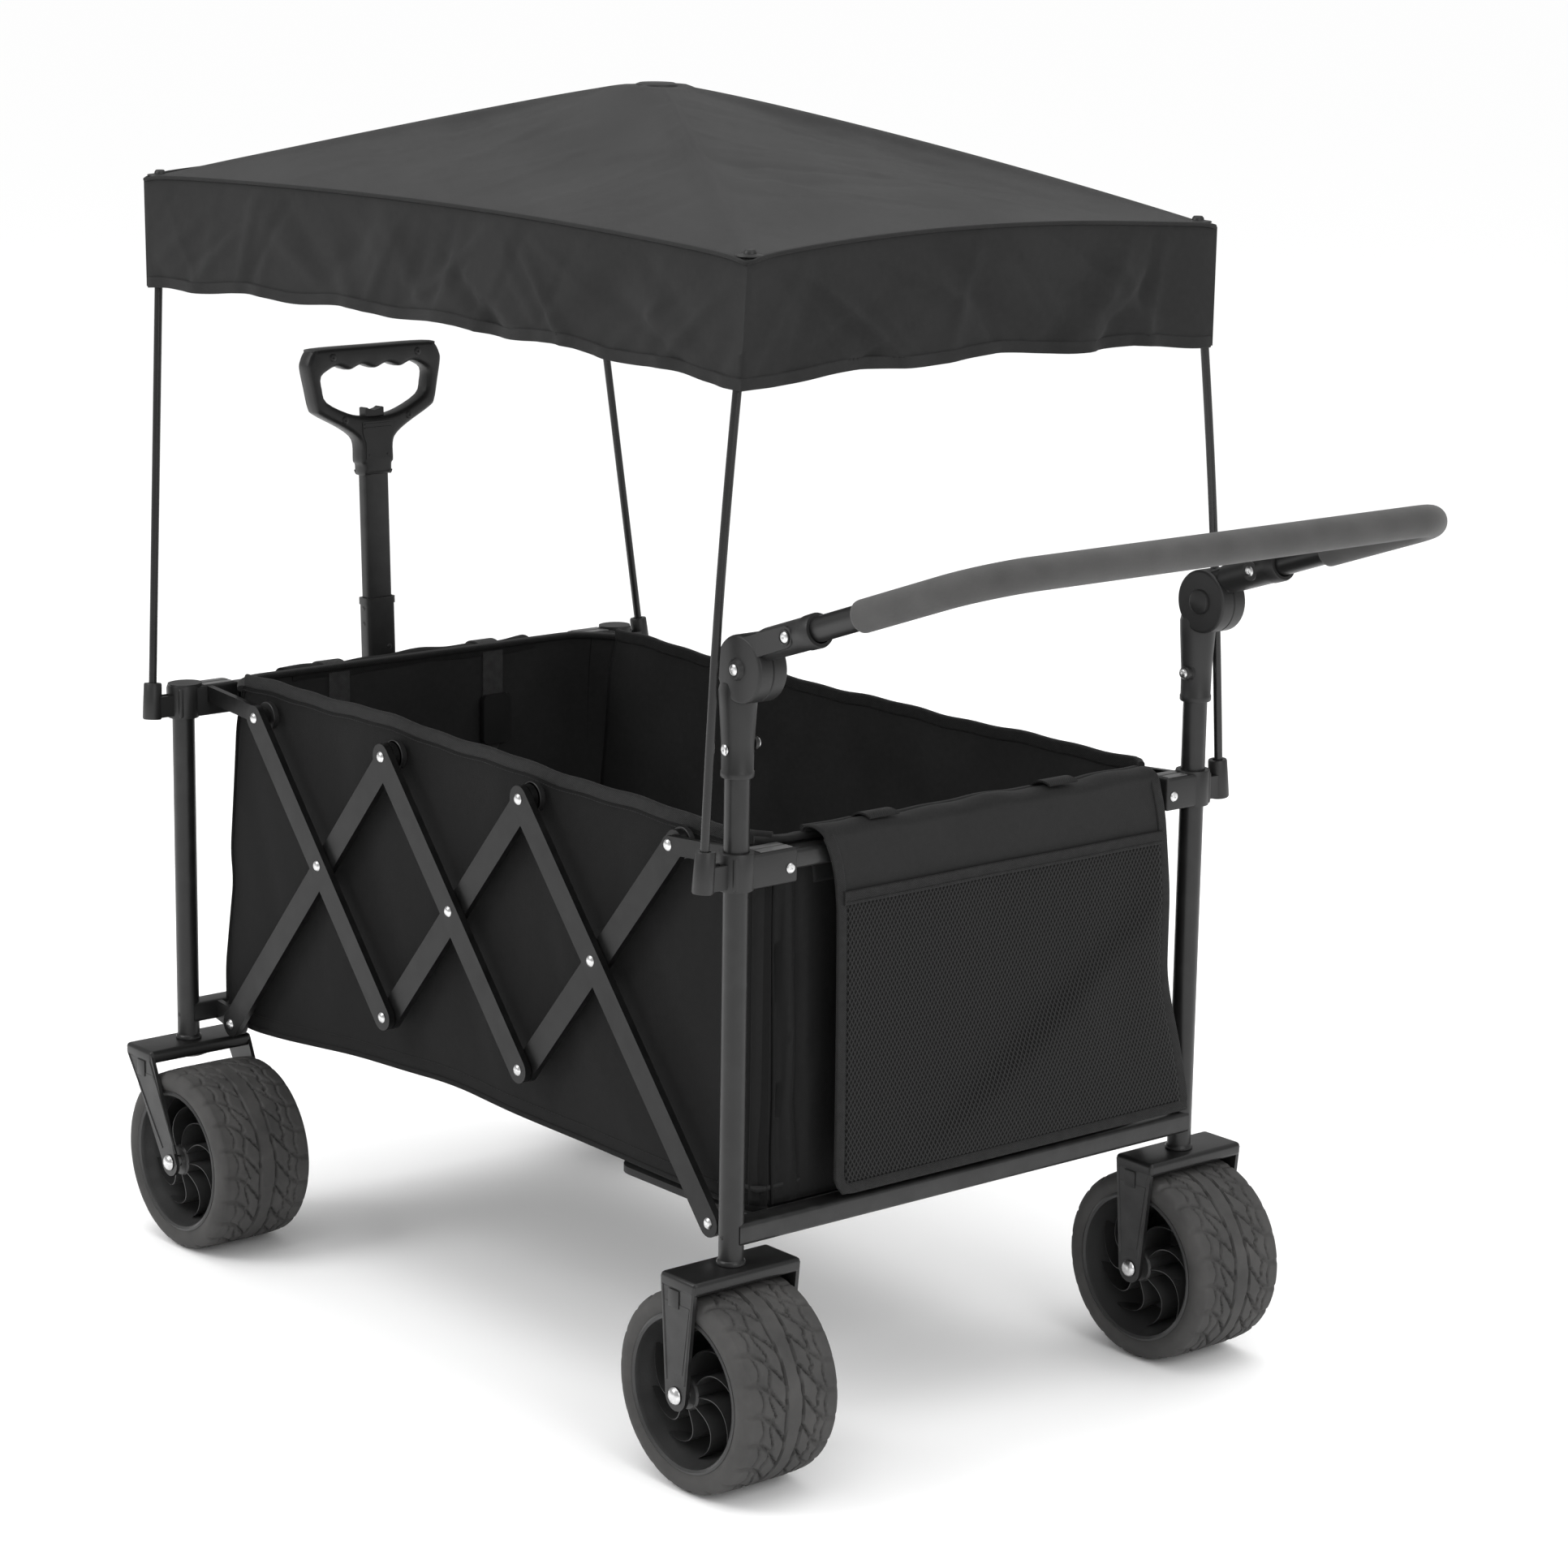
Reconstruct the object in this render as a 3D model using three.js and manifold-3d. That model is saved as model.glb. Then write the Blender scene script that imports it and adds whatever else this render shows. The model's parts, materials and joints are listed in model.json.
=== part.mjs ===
// Folding garden wagon with a canopy, a pull handle at the front and a push handle at the rear.
// Millimetres, +Z up, floor at z = 0. The front, with the pull handle, is at -X and the left side at -Y.
// Each side of the frame is a scissor lattice, so that the rear frame slides forward when it folds.

import * as THREE from 'three';
import { mergeVertices } from 'three/addons/utils/BufferGeometryUtils.js';
import Module from 'manifold-3d';

const wasm = await Module();
wasm.setup();

// ---- driving dimensions ----

const GAP = 0.3;
const BORE_SIDES = 12;

// handle length of the cubic curve that makes a quarter circle, for a radius of 1
const QUARTER_ARC = 0.5523;

// frame: posts stand at (+-POST_X, +-POST_Y)
const POST_X = 431;
const POST_Y = 269;
const POST_R = 11;
const POST_BOTTOM = 197;
const FRONT_POST_TOP = 550;
const REAR_POST_TOP = 680;
const RAIL_HALF = 12;
const RAIL_Z = [214, 234];
const TOP_RAIL_HALF = 10;
const TOP_RAIL_Z = [536, 554];

// scissor lattice: short half bars, two long lower legs and the links to the corner brackets
const BAR_R = 166;
const LONG_LEG = 260;
const BAR_ANGLE = THREE.MathUtils.degToRad(49.5);
const BAR_HALF = 12.5;
const FOOT_PIVOT_Z = 217;
const OUTER_LAYER = [250.5, 257];
const INNER_LAYER = [243, 249.5];
const LUG_LAYER = [236, 242];
const LINK_HALF = 8;
const LINK_PIVOT_Z = 549;

// corner brackets with their canopy rod sockets
const BRACKET_Z = [525.5, 557];
const BRACKET_HALF_X = 13;
const BRACKET_END_Y = 214;
const SOCKET_Y = 305;
const SOCKET_Z = [524, 563.5];
const SOCKET_R = 9.5;
const ROD_R = 4.5;
const ROD_TIP = { front: [-477, 257], rear: [424, 257] };
const ROD_TOP_Z = 1046;

// wheels
const WHEEL_R = 90;
const TYRE_HALF = 49;
const RIM_R = 69;
const HUB_HALF = 46;
const AXLE_R = 5;
const CASTER_TRAIL = 53.6;
const REAR_AXLE_SHIFT = -1.5;
const FORK_TOP = 196.5;
const FORK_CROWN = 7.5;
const FORK_HALF_Y = 56.5;
const FORK_HALF_X = 24;
const FORK_ARM = 4.5;
const FORK_EYE_R = 15;

// push handle, swinging on the two hinge housings
const PUSH_PIVOT = { x: 447.5, z: 717 };
const PUSH_ANGLE = THREE.MathUtils.degToRad(18.7);
const PUSH_REACH = 304;
const PUSH_LIFT = 17.6;
const PUSH_BEND = 51;
const PUSH_TUBE_R = 11;
const PUSH_TUBE_START = 34;
const PUSH_STEPS = 62;
const FOAM_R = 14;
const FOAM_FROM_STEP = 7;
const HOUSING_R = 29;
const HOUSING_Y = [252, 266, 279.5];
const HOUSING_BOSS_R = 10;
const HOUSING_SOCKET_R = 14;
const HOUSING_SOCKET_Z = 622;
const ARM_SOCKET_END = 96;
const PUSH_BUTTON_R = 9.5;

// pull handle, hinged on the front rail and leaning forward; its heights are taken as if it stood upright
const PULL_PIVOT = { x: -470, z: 212 };
const PULL_LEAN = THREE.MathUtils.degToRad(2.3);
const PULL_TUBE = { depth: 17, width: 35, corner: 4, bottom: 199, top: 610 };
const PULL_COLLAR = { depth: 18.6, width: 37, corner: 5, height: 7 };
const PULL_INNER = { depth: 13, width: 30.6, corner: 3, bottom: 345, top: 780 };
const PULL_BUTTON = { halfX: 6, halfY: 11.5, z: [792, 806] };
const GRIP_HALF_X = 10.5;
const GRIP_BOTTOM = 737;
const GRIP_TOP = 870;
const FINGER_PITCH = 30.8;
const FINGER_DEPTH = 2;
const FINGERS_Z = 848;

// fabric
const BASKET = { halfX: 412, wallY: [232, 235], floorZ: [228, 232], rimZ: 570 };
const CANOPY = { front: -490, rear: 437, halfY: 269, edgeZ: 1052, apexZ: 1160, skin: 2.5 };
const CANOPY_HEM = { front: -480, rear: 437, halfY: 275, z: 944 };
const HUB_FLAT = 0.07;

// the origin is on the floor, under the middle of the overall length
const PUSH_REAR = PUSH_PIVOT.x + PUSH_REACH * Math.cos(PUSH_ANGLE) - PUSH_LIFT * Math.sin(PUSH_ANGLE) + FOAM_R;
const gripReach = (GRIP_TOP - PULL_PIVOT.z) * Math.sin(PULL_LEAN) + GRIP_HALF_X * Math.cos(PULL_LEAN);
const MID_X = (PUSH_REAR + PULL_PIVOT.x - gripReach) / 2;

// ---- materials ----

const paint = (color, roughness, metalness) => new THREE.MeshStandardMaterial({ color, roughness, metalness });
const STEEL = paint(0x2b2c2e, 0.45, 0.6);
const PLASTIC = paint(0x1f2022, 0.5, 0);
const GLOSS = paint(0x0d0d0e, 0.25, 0);
const RUBBER = paint(0x3a3a3b, 0.85, 0);
const FOAM = paint(0x3c3b3a, 0.8, 0);
const FABRIC = paint(0x1d1d1e, 0.9, 0);
const ROOF_FABRIC = paint(0x2e2e30, 0.85, 0);
const ZINC = paint(0xb9bcbf, 0.35, 0.9);

// ---- geometry helpers ----

const wagon = new THREE.Group();

function add(name, geometry, material, parent = wagon) {
  const mesh = new THREE.Mesh(geometry, material);
  mesh.name = name;
  parent.add(mesh);
  return mesh;
}

function solidOf(geometry) {
  const bare = geometry.clone();
  bare.deleteAttribute('normal');
  bare.deleteAttribute('uv');
  const merged = mergeVertices(bare);
  const vertProperties = merged.attributes.position.array;
  const triVerts = new Uint32Array(merged.index.array);
  return new wasm.Manifold(new wasm.Mesh({ numProp: 3, vertProperties, triVerts }));
}

function geometryOf(solid) {
  const mesh = solid.getMesh();
  const geometry = new THREE.BufferGeometry();
  geometry.setAttribute('position', new THREE.BufferAttribute(new Float32Array(mesh.vertProperties), 3));
  geometry.setIndex(new THREE.BufferAttribute(new Uint32Array(mesh.triVerts), 1));
  geometry.computeVertexNormals();
  return geometry;
}

function join(...geometries) {
  const [first, ...rest] = geometries.map(solidOf);
  return geometryOf(rest.reduce((whole, part) => whole.add(part), first));
}

function cut(base, ...tools) {
  return geometryOf(tools.map(solidOf).reduce((whole, tool) => whole.subtract(tool), solidOf(base)));
}

function block([x0, x1], [y0, y1], [z0, z1]) {
  const geometry = new THREE.BoxGeometry(x1 - x0, y1 - y0, z1 - z0);
  return geometry.translate((x0 + x1) / 2, (y0 + y1) / 2, (z0 + z1) / 2);
}

// round bar from one point to another
function bar(from, to, radius, sides = 12) {
  const start = new THREE.Vector3(...from);
  const span = new THREE.Vector3(...to).sub(start);
  const geometry = new THREE.CylinderGeometry(radius, radius, span.length(), sides);
  geometry.translate(0, span.length() / 2, 0);
  const turn = new THREE.Quaternion().setFromUnitVectors(new THREE.Vector3(0, 1, 0), span.clone().normalize());
  return geometry.applyQuaternion(turn).translate(start.x, start.y, start.z);
}

// hole for a round bar of the given radius, clear of it all round its flat-sided wall
function bore(from, to, radius) {
  return bar(from, to, (radius + GAP) / Math.cos(Math.PI / BORE_SIDES), BORE_SIDES);
}

// shape drawn in X and Z, extruded along Y between two distances from the middle plane
function plate(shape, side, [near, far], curveSegments = 6) {
  const geometry = new THREE.ExtrudeGeometry(shape, { depth: far - near, bevelEnabled: false, curveSegments });
  geometry.rotateX(Math.PI / 2);
  return geometry.translate(0, side > 0 ? far : -near, 0);
}

function rotatedOutline(points, centre, angle) {
  const turned = points.map(([x, z]) => new THREE.Vector2(x, z).rotateAround(new THREE.Vector2(), angle));
  return turned.map((point) => point.add(centre));
}

// flat bar with round ends, from pivot a to pivot b, both [x, z]
function linkShape(a, b, half, sides = 6) {
  const from = new THREE.Vector2(...a);
  const to = new THREE.Vector2(...b);
  const angle = to.clone().sub(from).angle();
  const length = to.distanceTo(from);
  const points = [];
  for (let i = 0; i <= sides; i += 1) {
    const turn = -Math.PI / 2 + (Math.PI * i) / sides;
    points.push([length + half * Math.cos(turn), half * Math.sin(turn)]);
  }
  for (let i = 0; i <= sides; i += 1) {
    const turn = Math.PI / 2 + (Math.PI * i) / sides;
    points.push([half * Math.cos(turn), half * Math.sin(turn)]);
  }
  return new THREE.Shape(rotatedOutline(points, from, angle));
}

function roundedRectangle(width, height, radius) {
  const x = width / 2 - radius;
  const y = height / 2 - radius;
  const shape = new THREE.Shape();
  shape.absarc(x, y, radius, 0, Math.PI / 2);
  shape.absarc(-x, y, radius, Math.PI / 2, Math.PI);
  shape.absarc(-x, -y, radius, Math.PI, 1.5 * Math.PI);
  shape.absarc(x, -y, radius, 1.5 * Math.PI, 2 * Math.PI);
  return shape;
}

function upright(shape, [z0, z1]) {
  const geometry = new THREE.ExtrudeGeometry(shape, { depth: z1 - z0, bevelEnabled: false, curveSegments: 3 });
  return geometry.translate(0, 0, z0);
}

const SIDES = [['left', -1], ['right', 1]];
const ENDS = [['front', -1], ['rear', 1]];

// ---- welded end frames ----

const barDrop = BAR_R * Math.sin(BAR_ANGLE);
const barRun = BAR_R * Math.cos(BAR_ANGLE);
const topPivotZ = FOOT_PIVOT_Z + (LONG_LEG + BAR_R) * Math.sin(BAR_ANGLE);
const midPivotZ = topPivotZ - barDrop;
const lowPivotZ = midPivotZ - barDrop;
const footPivotX = 2 * barRun + LONG_LEG * Math.cos(BAR_ANGLE);

// two posts and the bottom rail between them, with a lug for the foot of each lattice
function endFrame(end, postTop) {
  const x = end * POST_X;
  const railX = [x - RAIL_HALF, x + RAIL_HALF];
  const parts = [block(railX, [-POST_Y, POST_Y], RAIL_Z)];
  for (const [, side] of SIDES) {
    parts.push(bar([x, side * POST_Y, POST_BOTTOM], [x, side * POST_Y, postTop], POST_R));
    const lug = linkShape([end * footPivotX, FOOT_PIVOT_Z], [x, FOOT_PIVOT_Z + 3], BAR_HALF - 0.5);
    parts.push(plate(lug, side, LUG_LAYER));
  }
  return parts;
}

function pullClevis() {
  const ears = SIDES.map(([, side]) => {
    const ear = linkShape([PULL_PIVOT.x, PULL_PIVOT.z], [-POST_X, PULL_PIVOT.z + 10], 10);
    return plate(ear, side, [PULL_TUBE.width / 2 + 1, PULL_TUBE.width / 2 + 6]);
  });
  return ears;
}

add('front_frame', join(...endFrame(-1, FRONT_POST_TOP), ...pullClevis()), STEEL);
add('rear_frame', join(...endFrame(1, REAR_POST_TOP)), STEEL);
for (const [endName, end] of ENDS) {
  const railX = [end * POST_X - TOP_RAIL_HALF, end * POST_X + TOP_RAIL_HALF];
  const railY = BRACKET_END_Y - GAP;
  add(`${endName}_top_rail`, block(railX, [-railY, railY], TOP_RAIL_Z), STEEL);
}

// ---- corner brackets and canopy rods ----

// point on the leaning rod's axis at height z
function rodPoint(endName, end, side, z) {
  const [tipX, tipY] = ROD_TIP[endName];
  const foot = new THREE.Vector3(end * POST_X, side * SOCKET_Y, SOCKET_Z[0]);
  const tip = new THREE.Vector3(tipX, side * tipY, ROD_TOP_Z);
  return foot.lerp(tip, (z - SOCKET_Z[0]) / (ROD_TOP_Z - SOCKET_Z[0])).toArray();
}

function sorted(side, near, far) {
  return side > 0 ? [near, far] : [-far, -near];
}

function cornerBracket(endName, end, side) {
  const x = end * POST_X;
  const [socketFoot, socketTop] = SOCKET_Z.map((z) => rodPoint(endName, end, side, z));
  const bodyX = [x - BRACKET_HALF_X, x + BRACKET_HALF_X];
  const body = block(bodyX, sorted(side, BRACKET_END_Y, POST_Y + BRACKET_HALF_X + 1), BRACKET_Z);
  const web = block([x - 7, x + 7], sorted(side, POST_Y, SOCKET_Y), [BRACKET_Z[0] + 2, BRACKET_Z[1] - 6]);
  const boreTop = end < 0 ? FRONT_POST_TOP + GAP : BRACKET_Z[1] + 1;
  const postHole = bore([x, side * POST_Y, BRACKET_Z[0] - 1], [x, side * POST_Y, boreTop], POST_R);
  const layer = end < 0 ? INNER_LAYER : OUTER_LAYER;
  const slotX = sorted(end, POST_X - BRACKET_HALF_X - 1, POST_X + LINK_HALF + 2);
  const slotZ = [LINK_PIVOT_Z - LINK_HALF - 3, BRACKET_Z[1] + 1];
  const slot = block(slotX, sorted(side, layer[0] - 1, layer[1] + 1), slotZ);
  const whole = join(body, web, bar(socketFoot, socketTop, SOCKET_R));
  const [rodFoot, rodTop] = [SOCKET_Z[0] + 7, SOCKET_Z[1] + 3].map((z) => rodPoint(endName, end, side, z));
  return cut(whole, postHole, slot, bore(rodFoot, rodTop, ROD_R));
}

for (const [endName, end] of ENDS) {
  for (const [sideName, side] of SIDES) {
    add(`${endName}_${sideName}_bracket`, cornerBracket(endName, end, side), PLASTIC);
    const foot = rodPoint(endName, end, side, SOCKET_Z[0] + 8);
    const tip = rodPoint(endName, end, side, ROD_TOP_Z);
    add(`${endName}_${sideName}_canopy_rod`, bar(foot, tip, ROD_R, 8), STEEL);
  }
}

// ---- scissor lattice ----

// a1, a2 and a3 lie in the outer layer and b1, b2 and b3 in the inner one
function latticeBars() {
  const top = [-3, -1, 1, 3].map((n) => [n * barRun, topPivotZ]);
  const low = [-1, 1].map((n) => [n * barRun, lowPivotZ]);
  const foot = [-1, 1].map((n) => [n * footPivotX, FOOT_PIVOT_Z]);
  return [
    ['a1', top[0], low[0], OUTER_LAYER],
    ['a2', top[1], low[1], OUTER_LAYER],
    ['a3', top[2], foot[1], OUTER_LAYER],
    ['b1', top[1], foot[0], INNER_LAYER],
    ['b2', top[2], low[0], INNER_LAYER],
    ['b3', top[3], low[1], INNER_LAYER],
  ];
}

for (const [sideName, side] of SIDES) {
  for (const [barName, from, to, layer] of latticeBars()) {
    add(`${sideName}_bar_${barName}`, plate(linkShape(from, to, BAR_HALF), side, layer), STEEL);
  }
  for (const [endName, end] of ENDS) {
    const layer = end < 0 ? INNER_LAYER : OUTER_LAYER;
    const link = linkShape([end * POST_X, LINK_PIVOT_Z], [end * 3 * barRun, topPivotZ], LINK_HALF);
    add(`${endName}_${sideName}_link`, plate(link, side, layer), STEEL);
  }
}

// ---- forks, axles and wheels ----

function forkArmShape(crownX, axleX) {
  const shape = new THREE.Shape();
  shape.moveTo(crownX - FORK_HALF_X, FORK_TOP);
  shape.lineTo(axleX - FORK_EYE_R, WHEEL_R + 4);
  shape.absarc(axleX, WHEEL_R, FORK_EYE_R, Math.PI, 2 * Math.PI);
  shape.lineTo(crownX + FORK_HALF_X, FORK_TOP);
  return shape;
}

function fork(side, crownX, axleX) {
  const crownY = [side * POST_Y - FORK_HALF_Y, side * POST_Y + FORK_HALF_Y];
  const crown = block([crownX - FORK_HALF_X, crownX + FORK_HALF_X], crownY, [FORK_TOP - FORK_CROWN, FORK_TOP]);
  const layers = [
    [POST_Y + FORK_HALF_Y - FORK_ARM, POST_Y + FORK_HALF_Y],
    [POST_Y - FORK_HALF_Y, POST_Y - FORK_HALF_Y + FORK_ARM],
  ];
  const arms = layers.map((layer) => plate(forkArmShape(crownX, axleX), side, layer));
  const eyeFrom = [axleX, side * POST_Y - FORK_HALF_Y - 1, WHEEL_R];
  const eyeTo = [axleX, side * POST_Y + FORK_HALF_Y + 1, WHEEL_R];
  return cut(join(crown, ...arms), bore(eyeFrom, eyeTo, AXLE_R));
}

// profile points are [radius, y], with the outside going up
function lathed(profile, sides, x, y) {
  const points = profile.map(([radius, height]) => new THREE.Vector2(radius, height));
  return new THREE.LatheGeometry(points, sides).translate(x, y, WHEEL_R);
}

function axleProfile() {
  const head = 8;
  const face = FORK_HALF_Y + GAP;
  const end = face + 3.5;
  const half = [[AXLE_R, face], [head, face], [head, end], [0, end]];
  return [...half.map(([radius, y]) => [radius, -y]).reverse(), ...half];
}

function hubProfile() {
  const bore = AXLE_R + GAP;
  const boss = 16;
  const web = 6;
  const dish = RIM_R - 6;
  const end = HUB_HALF + 3;
  return [
    [RIM_R, -HUB_HALF], [RIM_R, HUB_HALF], [dish, HUB_HALF], [dish, web], [boss, web], [boss, end],
    [bore, end], [bore, -end], [boss, -end], [boss, -web], [dish, -web], [dish, -HUB_HALF], [RIM_R, -HUB_HALF],
  ];
}

function tyreProfile() {
  const inner = RIM_R + 0.5;
  const half = TYRE_HALF;
  return [
    [inner, -half + 2], [WHEEL_R - 12, -half], [WHEEL_R - 4, -half + 5], [WHEEL_R, -half + 15],
    [WHEEL_R, half - 15], [WHEEL_R - 4, half - 5], [WHEEL_R - 12, half], [inner, half - 2], [inner, -half + 2],
  ];
}

for (const [endName, end] of ENDS) {
  const crownX = end * POST_X;
  const axleX = end < 0 ? crownX + CASTER_TRAIL : crownX + REAR_AXLE_SHIFT;
  for (const [sideName, side] of SIDES) {
    const place = `${endName}_${sideName}`;
    add(`${place}_fork`, fork(side, crownX, axleX), STEEL);
    add(`${place}_axle`, lathed(axleProfile(), 10, axleX, side * POST_Y), ZINC);
    add(`${place}_hub`, lathed(hubProfile(), 20, axleX, side * POST_Y), GLOSS);
    add(`${place}_tyre`, lathed(tyreProfile(), 32, axleX, side * POST_Y), RUBBER);
  }
}

// ---- push handle ----

function disc(x, z, radius, [y0, y1], sides = 20) {
  return bar([x, y0, z], [x, y1, z], radius, sides);
}

// fixed half of the hinge: a socket over the post and the outer disc
function lowerHousing(side) {
  const y = side * POST_Y;
  const [innerFace, seam, outerFace] = HOUSING_Y;
  const outerHalf = disc(PUSH_PIVOT.x, PUSH_PIVOT.z, HOUSING_R, sorted(side, seam + GAP, outerFace));
  const boss = disc(PUSH_PIVOT.x, PUSH_PIVOT.z, HOUSING_BOSS_R, sorted(side, outerFace - 1, outerFace + 7));
  const socket = bar([POST_X, y, HOUSING_SOCKET_Z], [POST_X, y, PUSH_PIVOT.z - 10], HOUSING_SOCKET_R);
  const postHole = bore([POST_X, y, HOUSING_SOCKET_Z - 1], [POST_X, y, REAR_POST_TOP + 1], POST_R);
  const room = disc(PUSH_PIVOT.x, PUSH_PIVOT.z, HOUSING_R + 2, sorted(side, innerFace - 1, seam + GAP));
  return cut(join(cut(socket, room), outerHalf, boss), postHole);
}

// swinging half, in the handle's own frame: X along the arm from the pivot
function upperHousing(side) {
  const y = side * POST_Y;
  const [innerFace, seam, outerFace] = HOUSING_Y;
  const innerHalf = disc(0, 0, HOUSING_R, sorted(side, innerFace, seam - GAP));
  const socket = bar([8, y, PUSH_LIFT], [ARM_SOCKET_END, y, PUSH_LIFT], HOUSING_SOCKET_R);
  const tubeHole = bore([PUSH_TUBE_START - GAP, y, PUSH_LIFT], [ARM_SOCKET_END + 1, y, PUSH_LIFT], PUSH_TUBE_R);
  const room = disc(0, 0, HOUSING_R + 2, sorted(side, seam - GAP, outerFace + 2));
  const well = disc(0, 0, PUSH_BUTTON_R + 0.5, sorted(side, innerFace - 1, innerFace + 10.5));
  return cut(join(cut(socket, room), innerHalf), tubeHole, well);
}

// U path of the handle tube, from one arm round the crossbar to the other
function pushPath(start) {
  const end = PUSH_REACH;
  const y = POST_Y;
  const bend = PUSH_BEND;
  const rest = bend * (1 - QUARTER_ARC);
  const at = (x, across) => new THREE.Vector3(x, across, PUSH_LIFT);
  const ends = [[end - bend, y], [end - rest, y], [end, y - rest], [end, y - bend]];
  const [left, right] = [-1, 1].map((side) => ends.map(([x, across]) => at(x, side * across)));
  right.reverse();
  const path = new THREE.CurvePath();
  path.add(new THREE.LineCurve3(at(start, -y), left[0]));
  path.add(new THREE.CubicBezierCurve3(...left));
  path.add(new THREE.LineCurve3(left[3], right[0]));
  path.add(new THREE.CubicBezierCurve3(...right));
  path.add(new THREE.LineCurve3(right[3], at(start, y)));
  return path;
}

function alongPath(shape, path, steps) {
  return new THREE.ExtrudeGeometry(shape, { steps, extrudePath: path, curveSegments: 5, bevelEnabled: false });
}

function circle(radius) {
  return new THREE.Shape().absarc(0, 0, radius, 0, 2 * Math.PI);
}

function foamSection() {
  const section = circle(FOAM_R);
  section.holes.push(new THREE.Path().absarc(0, 0, PUSH_TUBE_R + 0.8, 0, 2 * Math.PI));
  return section;
}

// the foam starts and ends on steps of the tube, so that the two facet alike round the bends
const tubePath = pushPath(PUSH_TUBE_START);
const FOAM_START = PUSH_TUBE_START + (FOAM_FROM_STEP * tubePath.getLength()) / PUSH_STEPS;
const foamSteps = PUSH_STEPS - 2 * FOAM_FROM_STEP;
const pushHandle = new THREE.Group();
pushHandle.position.set(PUSH_PIVOT.x, 0, PUSH_PIVOT.z);
pushHandle.rotation.y = -PUSH_ANGLE;
wagon.add(pushHandle);
add('push_handle_tube', alongPath(circle(PUSH_TUBE_R), tubePath, PUSH_STEPS), STEEL, pushHandle);
add('push_handle_foam', alongPath(foamSection(), pushPath(FOAM_START), foamSteps), FOAM, pushHandle);
for (const [sideName, side] of SIDES) {
  const face = HOUSING_Y[0];
  const button = disc(0, 0, PUSH_BUTTON_R, sorted(side, face - 3, face + 6.5));
  add(`push_${sideName}_lower_housing`, lowerHousing(side), PLASTIC);
  add(`push_${sideName}_upper_housing`, upperHousing(side), PLASTIC, pushHandle);
  add(`push_${sideName}_button`, button, PLASTIC, pushHandle);
}

// ---- pull handle ----

// hole that the inner tube slides or sits in
function aroundInner() {
  return roundedRectangle(PULL_INNER.depth + 2 * GAP, PULL_INNER.width + 2 * GAP, PULL_INNER.corner);
}

function pullOuterTube() {
  const { depth, width, corner, bottom, top } = PULL_TUBE;
  const collar = roundedRectangle(PULL_COLLAR.depth, PULL_COLLAR.width, PULL_COLLAR.corner);
  const tube = upright(roundedRectangle(depth, width, corner), [bottom, top]);
  const whole = join(tube, upright(collar, [top - PULL_COLLAR.height, top]));
  return cut(whole, upright(aroundInner(), [bottom - 1, top + 1]));
}

// closed outline in Y and Z, from the points on its right half, listed upwards
function mirroredOutline(half) {
  const mirrored = half.map(([y, z]) => [-y, z]).reverse();
  return new THREE.Shape([...half, ...mirrored].map(([y, z]) => new THREE.Vector2(y, z)));
}

// the D grip, from its stepped neck round the ring's corner to the top bar
function gripOutline() {
  const neck = [[17.7, GRIP_BOTTOM], [18, GRIP_BOTTOM + 11], [20.3, GRIP_BOTTOM + 14], [20.5, 768]];
  const shoulder = [[25, 777], [39.5, 787], [67, 801.5], [73.5, 809]];
  const topCorner = [[82, 849], [81, 857], [76, GRIP_TOP - 4], [68, GRIP_TOP]];
  return mirroredOutline([...neck, ...shoulder, ...topCorner]);
}

// finger opening, with four scallops along its upper edge
function gripOpening() {
  const half = [[12, 797.5], [34, 802.5], [59, 815], [64.7, 841]];
  const quarters = 7;
  for (let i = quarters; i > 0; i -= 1) {
    const y = (i * FINGER_PITCH) / 4;
    half.push([y, FINGERS_Z - FINGER_DEPTH * Math.cos((2 * Math.PI * y) / FINGER_PITCH)]);
  }
  return mirroredOutline(half);
}

function acrossX(shape, halfDepth) {
  const geometry = new THREE.ExtrudeGeometry(shape, { depth: 2 * halfDepth, bevelEnabled: false });
  geometry.translate(0, 0, -halfDepth);
  geometry.rotateY(Math.PI / 2);
  return geometry.rotateX(Math.PI / 2);
}

function pullGrip() {
  const { halfX, halfY, z } = PULL_BUTTON;
  const well = block([-halfX - 0.5, halfX + 0.5], [-halfY - 0.5, halfY + 0.5], [z[0] - 6, z[1] + 1]);
  const body = cut(acrossX(gripOutline(), GRIP_HALF_X), acrossX(gripOpening(), GRIP_HALF_X + 1));
  return cut(body, upright(aroundInner(), [GRIP_BOTTOM - 1, PULL_INNER.top + GAP]), well);
}

const pullHandle = new THREE.Group();
pullHandle.position.set(PULL_PIVOT.x, 0, PULL_PIVOT.z);
pullHandle.rotation.y = -PULL_LEAN;
wagon.add(pullHandle);
const innerSection = roundedRectangle(PULL_INNER.depth, PULL_INNER.width, PULL_INNER.corner);
const { halfX, halfY, z: buttonZ } = PULL_BUTTON;
const pullParts = [
  ['pull_outer_tube', pullOuterTube(), STEEL],
  ['pull_inner_tube', upright(innerSection, [PULL_INNER.bottom, PULL_INNER.top]), STEEL],
  ['pull_grip', pullGrip(), PLASTIC],
  ['pull_button', block([-halfX, halfX], [-halfY, halfY], buttonZ), PLASTIC],
];
for (const [name, geometry, material] of pullParts) {
  add(name, geometry.translate(0, 0, -PULL_PIVOT.z), material, pullHandle);
}

// ---- basket ----

function basketBody() {
  const x = [-BASKET.halfX, BASKET.halfX];
  const z = [BASKET.floorZ[0], BASKET.rimZ];
  const walls = SIDES.map(([, side]) => block(x, sorted(side, ...BASKET.wallY), z));
  return join(block(x, [-BASKET.wallY[1], BASKET.wallY[1]], BASKET.floorZ), ...walls);
}

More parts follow.
